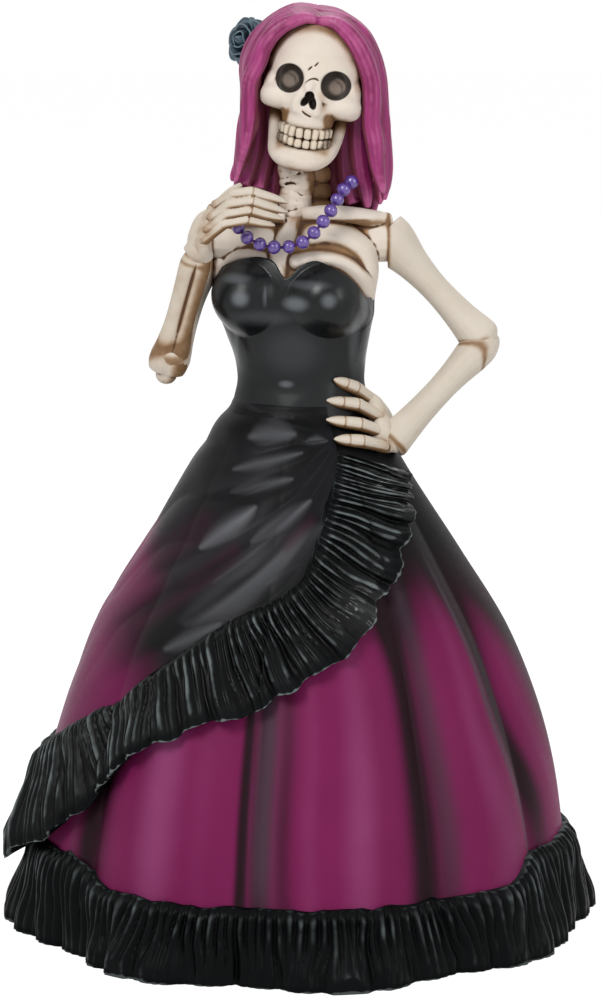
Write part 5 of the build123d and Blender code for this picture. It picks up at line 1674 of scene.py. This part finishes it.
# ---------------------------------------------------------------- necklace
NECKLACE_ROUTE = [
    (-19.0, -7.2, 240.9), (-20.3, -13.2, 234.2), (-19.6, -18.8, 228.4), (-16.5, -20.6, 225.8),
    (-11.0, -21.2, 223.4), (-3.9, -21.2, 223.2), (1.6, -21.0, 225.2), (6.4, -20.4, 230.1),
    (10.4, -16.8, 235.4), (13.4, -12.8, 240.2), (17.7, -7.2, 243.9),
]
BEAD_COUNT = 15
BEAD_RADII = (2.25, 2.25, 2.1)


def make_necklace():
    line = np.array(smooth_line(NECKLACE_ROUTE, 40))
    lengths = np.concatenate([[0], np.cumsum(np.linalg.norm(np.diff(line, axis=0), axis=1))])
    pattern = ball((0, 0, 0), BEAD_RADII, segments=24)
    beads = []
    chance = np.random.default_rng(4)
    for index in range(BEAD_COUNT):
        at = lengths[-1] * (index + 0.5) / BEAD_COUNT
        place, ahead = (
            Vector([float(np.interp(spot, lengths, line[:, axis])) for axis in range(3)])
            for spot in (at, at + 0.5)
        )
        way = (ahead - place).to_track_quat("Z", "Y").to_matrix().to_4x4()
        size = Matrix.Scale(float(chance.uniform(0.96, 1.04)), 4)
        bead = copy_of(pattern)
        bead.matrix_world = Matrix.Translation(place * MM) @ way @ size
        beads.append(settle(bead))
    bpy.data.objects.remove(pattern)
    piece = join("necklace_beads_gloss", *beads)
    shade_smooth(piece)
    finish(piece, bead_paint(), "bead_gloss", "necklace_beads")


def bead_paint():
    paint = Paint("bead_violet", Specular_IOR_Level=0.6, Coat_Weight=0.8, Coat_Roughness=0.05)
    cloud = paint.grain(380, 3)
    violet = paint.mix(cloud, colour(58, 36, 118), colour(108, 72, 168))
    paint.give(Base_Color=violet, Roughness=0.15 + 0.2 * cloud)
    paint.bump(cloud, 0.0004, 0.5)
    return paint


# ---------------------------------------------------------------- hidden pieces
# Their finishes: two colours, scale and length of the grain, roughness, metal or not, and nodes
HIDDEN = [
    ("grey_board", (168, 152, 128), (190, 176, 152), 160, 1, 0.8, 0, ["base_board"]),
    ("dowel_beech", (178, 136, 88), (206, 168, 118), 220, 0.08, 0.6, 0, ["spine_dowel"]),
    ("wire_steel", (140, 142, 146), (170, 172, 176), 400, 1, 0.3, 1,
     ["left_arm_wire", "right_arm_wire"]),
    ("thread_linen", (60, 34, 74), (92, 60, 110), 900, 1, 0.8, 0, ["necklace_thread"]),
]


def paint_hidden():
    for name, first, second, scale, length, rough, metal, nodes in HIDDEN:
        paint = Paint(name, Metallic=metal)
        grain = paint.grain(scale, 4, stretch=(1, 1, length))
        fine = paint.grain(scale * 5, 2, stretch=(1, 1, length))
        base = paint.mix(paint.ease(grain, 0.3, 0.7), colour(*first), colour(*second))
        paint.give(Base_Color=base, Roughness=rough + 0.2 * fine)
        paint.bump(grain + 0.3 * fine, 0.0001, 0.5)
        for node in nodes:
            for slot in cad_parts[node].material_slots:
                slot.material = paint.material


# ---------------------------------------------------------------- table and backdrop
def make_table():
    """A pale table that looks a little brighter than it lights, to run over into the backdrop."""
    take()
    bpy.ops.mesh.primitive_plane_add(size=12, location=(0, 0, 0))
    table = settle()
    table.name = "table_top"
    material = bpy.data.materials.new("white_table")
    wiring = Wiring(material, bare=True)
    rays = wiring.node("ShaderNodeLightPath").outputs
    seen = wiring.node(
        "ShaderNodeMath", {"use_clamp": True}, _0=rays["Is Camera Ray"], _1=rays["Is Glossy Ray"]
    )
    share = wiring.node("ShaderNodeMath", {"operation": "MULTIPLY"}, _0=seen.outputs[0], _1=0.7)
    matt = wiring.node("ShaderNodeBsdfDiffuse", Color=(0.88, 0.88, 0.88, 1))
    glow = wiring.node("ShaderNodeEmission", Strength=1.29)
    blend = wiring.node(
        "ShaderNodeMixShader", _0=share.outputs[0], _1=matt.outputs[0], _2=glow.outputs[0]
    )
    wiring.node("ShaderNodeOutputMaterial", _0=blend.outputs[0])
    table.data.materials.append(material)


def make_backdrop():
    """A white surround, bright where it is seen or mirrored and dimmer as a light."""
    world = bpy.data.worlds.new("studio")
    bpy.context.scene.world = world
    wiring = Wiring(world, bare=True)
    rays = wiring.node("ShaderNodeLightPath").outputs
    mirrored = wiring.node("ShaderNodeMath", _0=rays["Is Camera Ray"], _1=rays["Is Glossy Ray"])
    seen = wiring.node(
        "ShaderNodeMath", {"use_clamp": True},
        _0=mirrored.outputs[0], _1=rays["Is Transmission Ray"],
    )
    strength = wiring.node("ShaderNodeMapRange", Value=seen.outputs[0], To_Min=0.34, To_Max=1.0)
    sky = wiring.node("ShaderNodeBackground", Color=(1, 1, 1, 1), Strength=strength.outputs[0])
    wiring.node("ShaderNodeOutputWorld", _0=sky.outputs[0])


# ---------------------------------------------------------------- the figure
make_table()
make_backdrop()
paint_hidden()
make_skirt()
make_overskirt()
make_wrap_ruffle()
make_hem_ruffle()
make_bodice()
make_chest()
make_neck()
make_skull()
make_jaw()
make_teeth()
make_hair()
make_rose()
make_arms()
make_necklace()
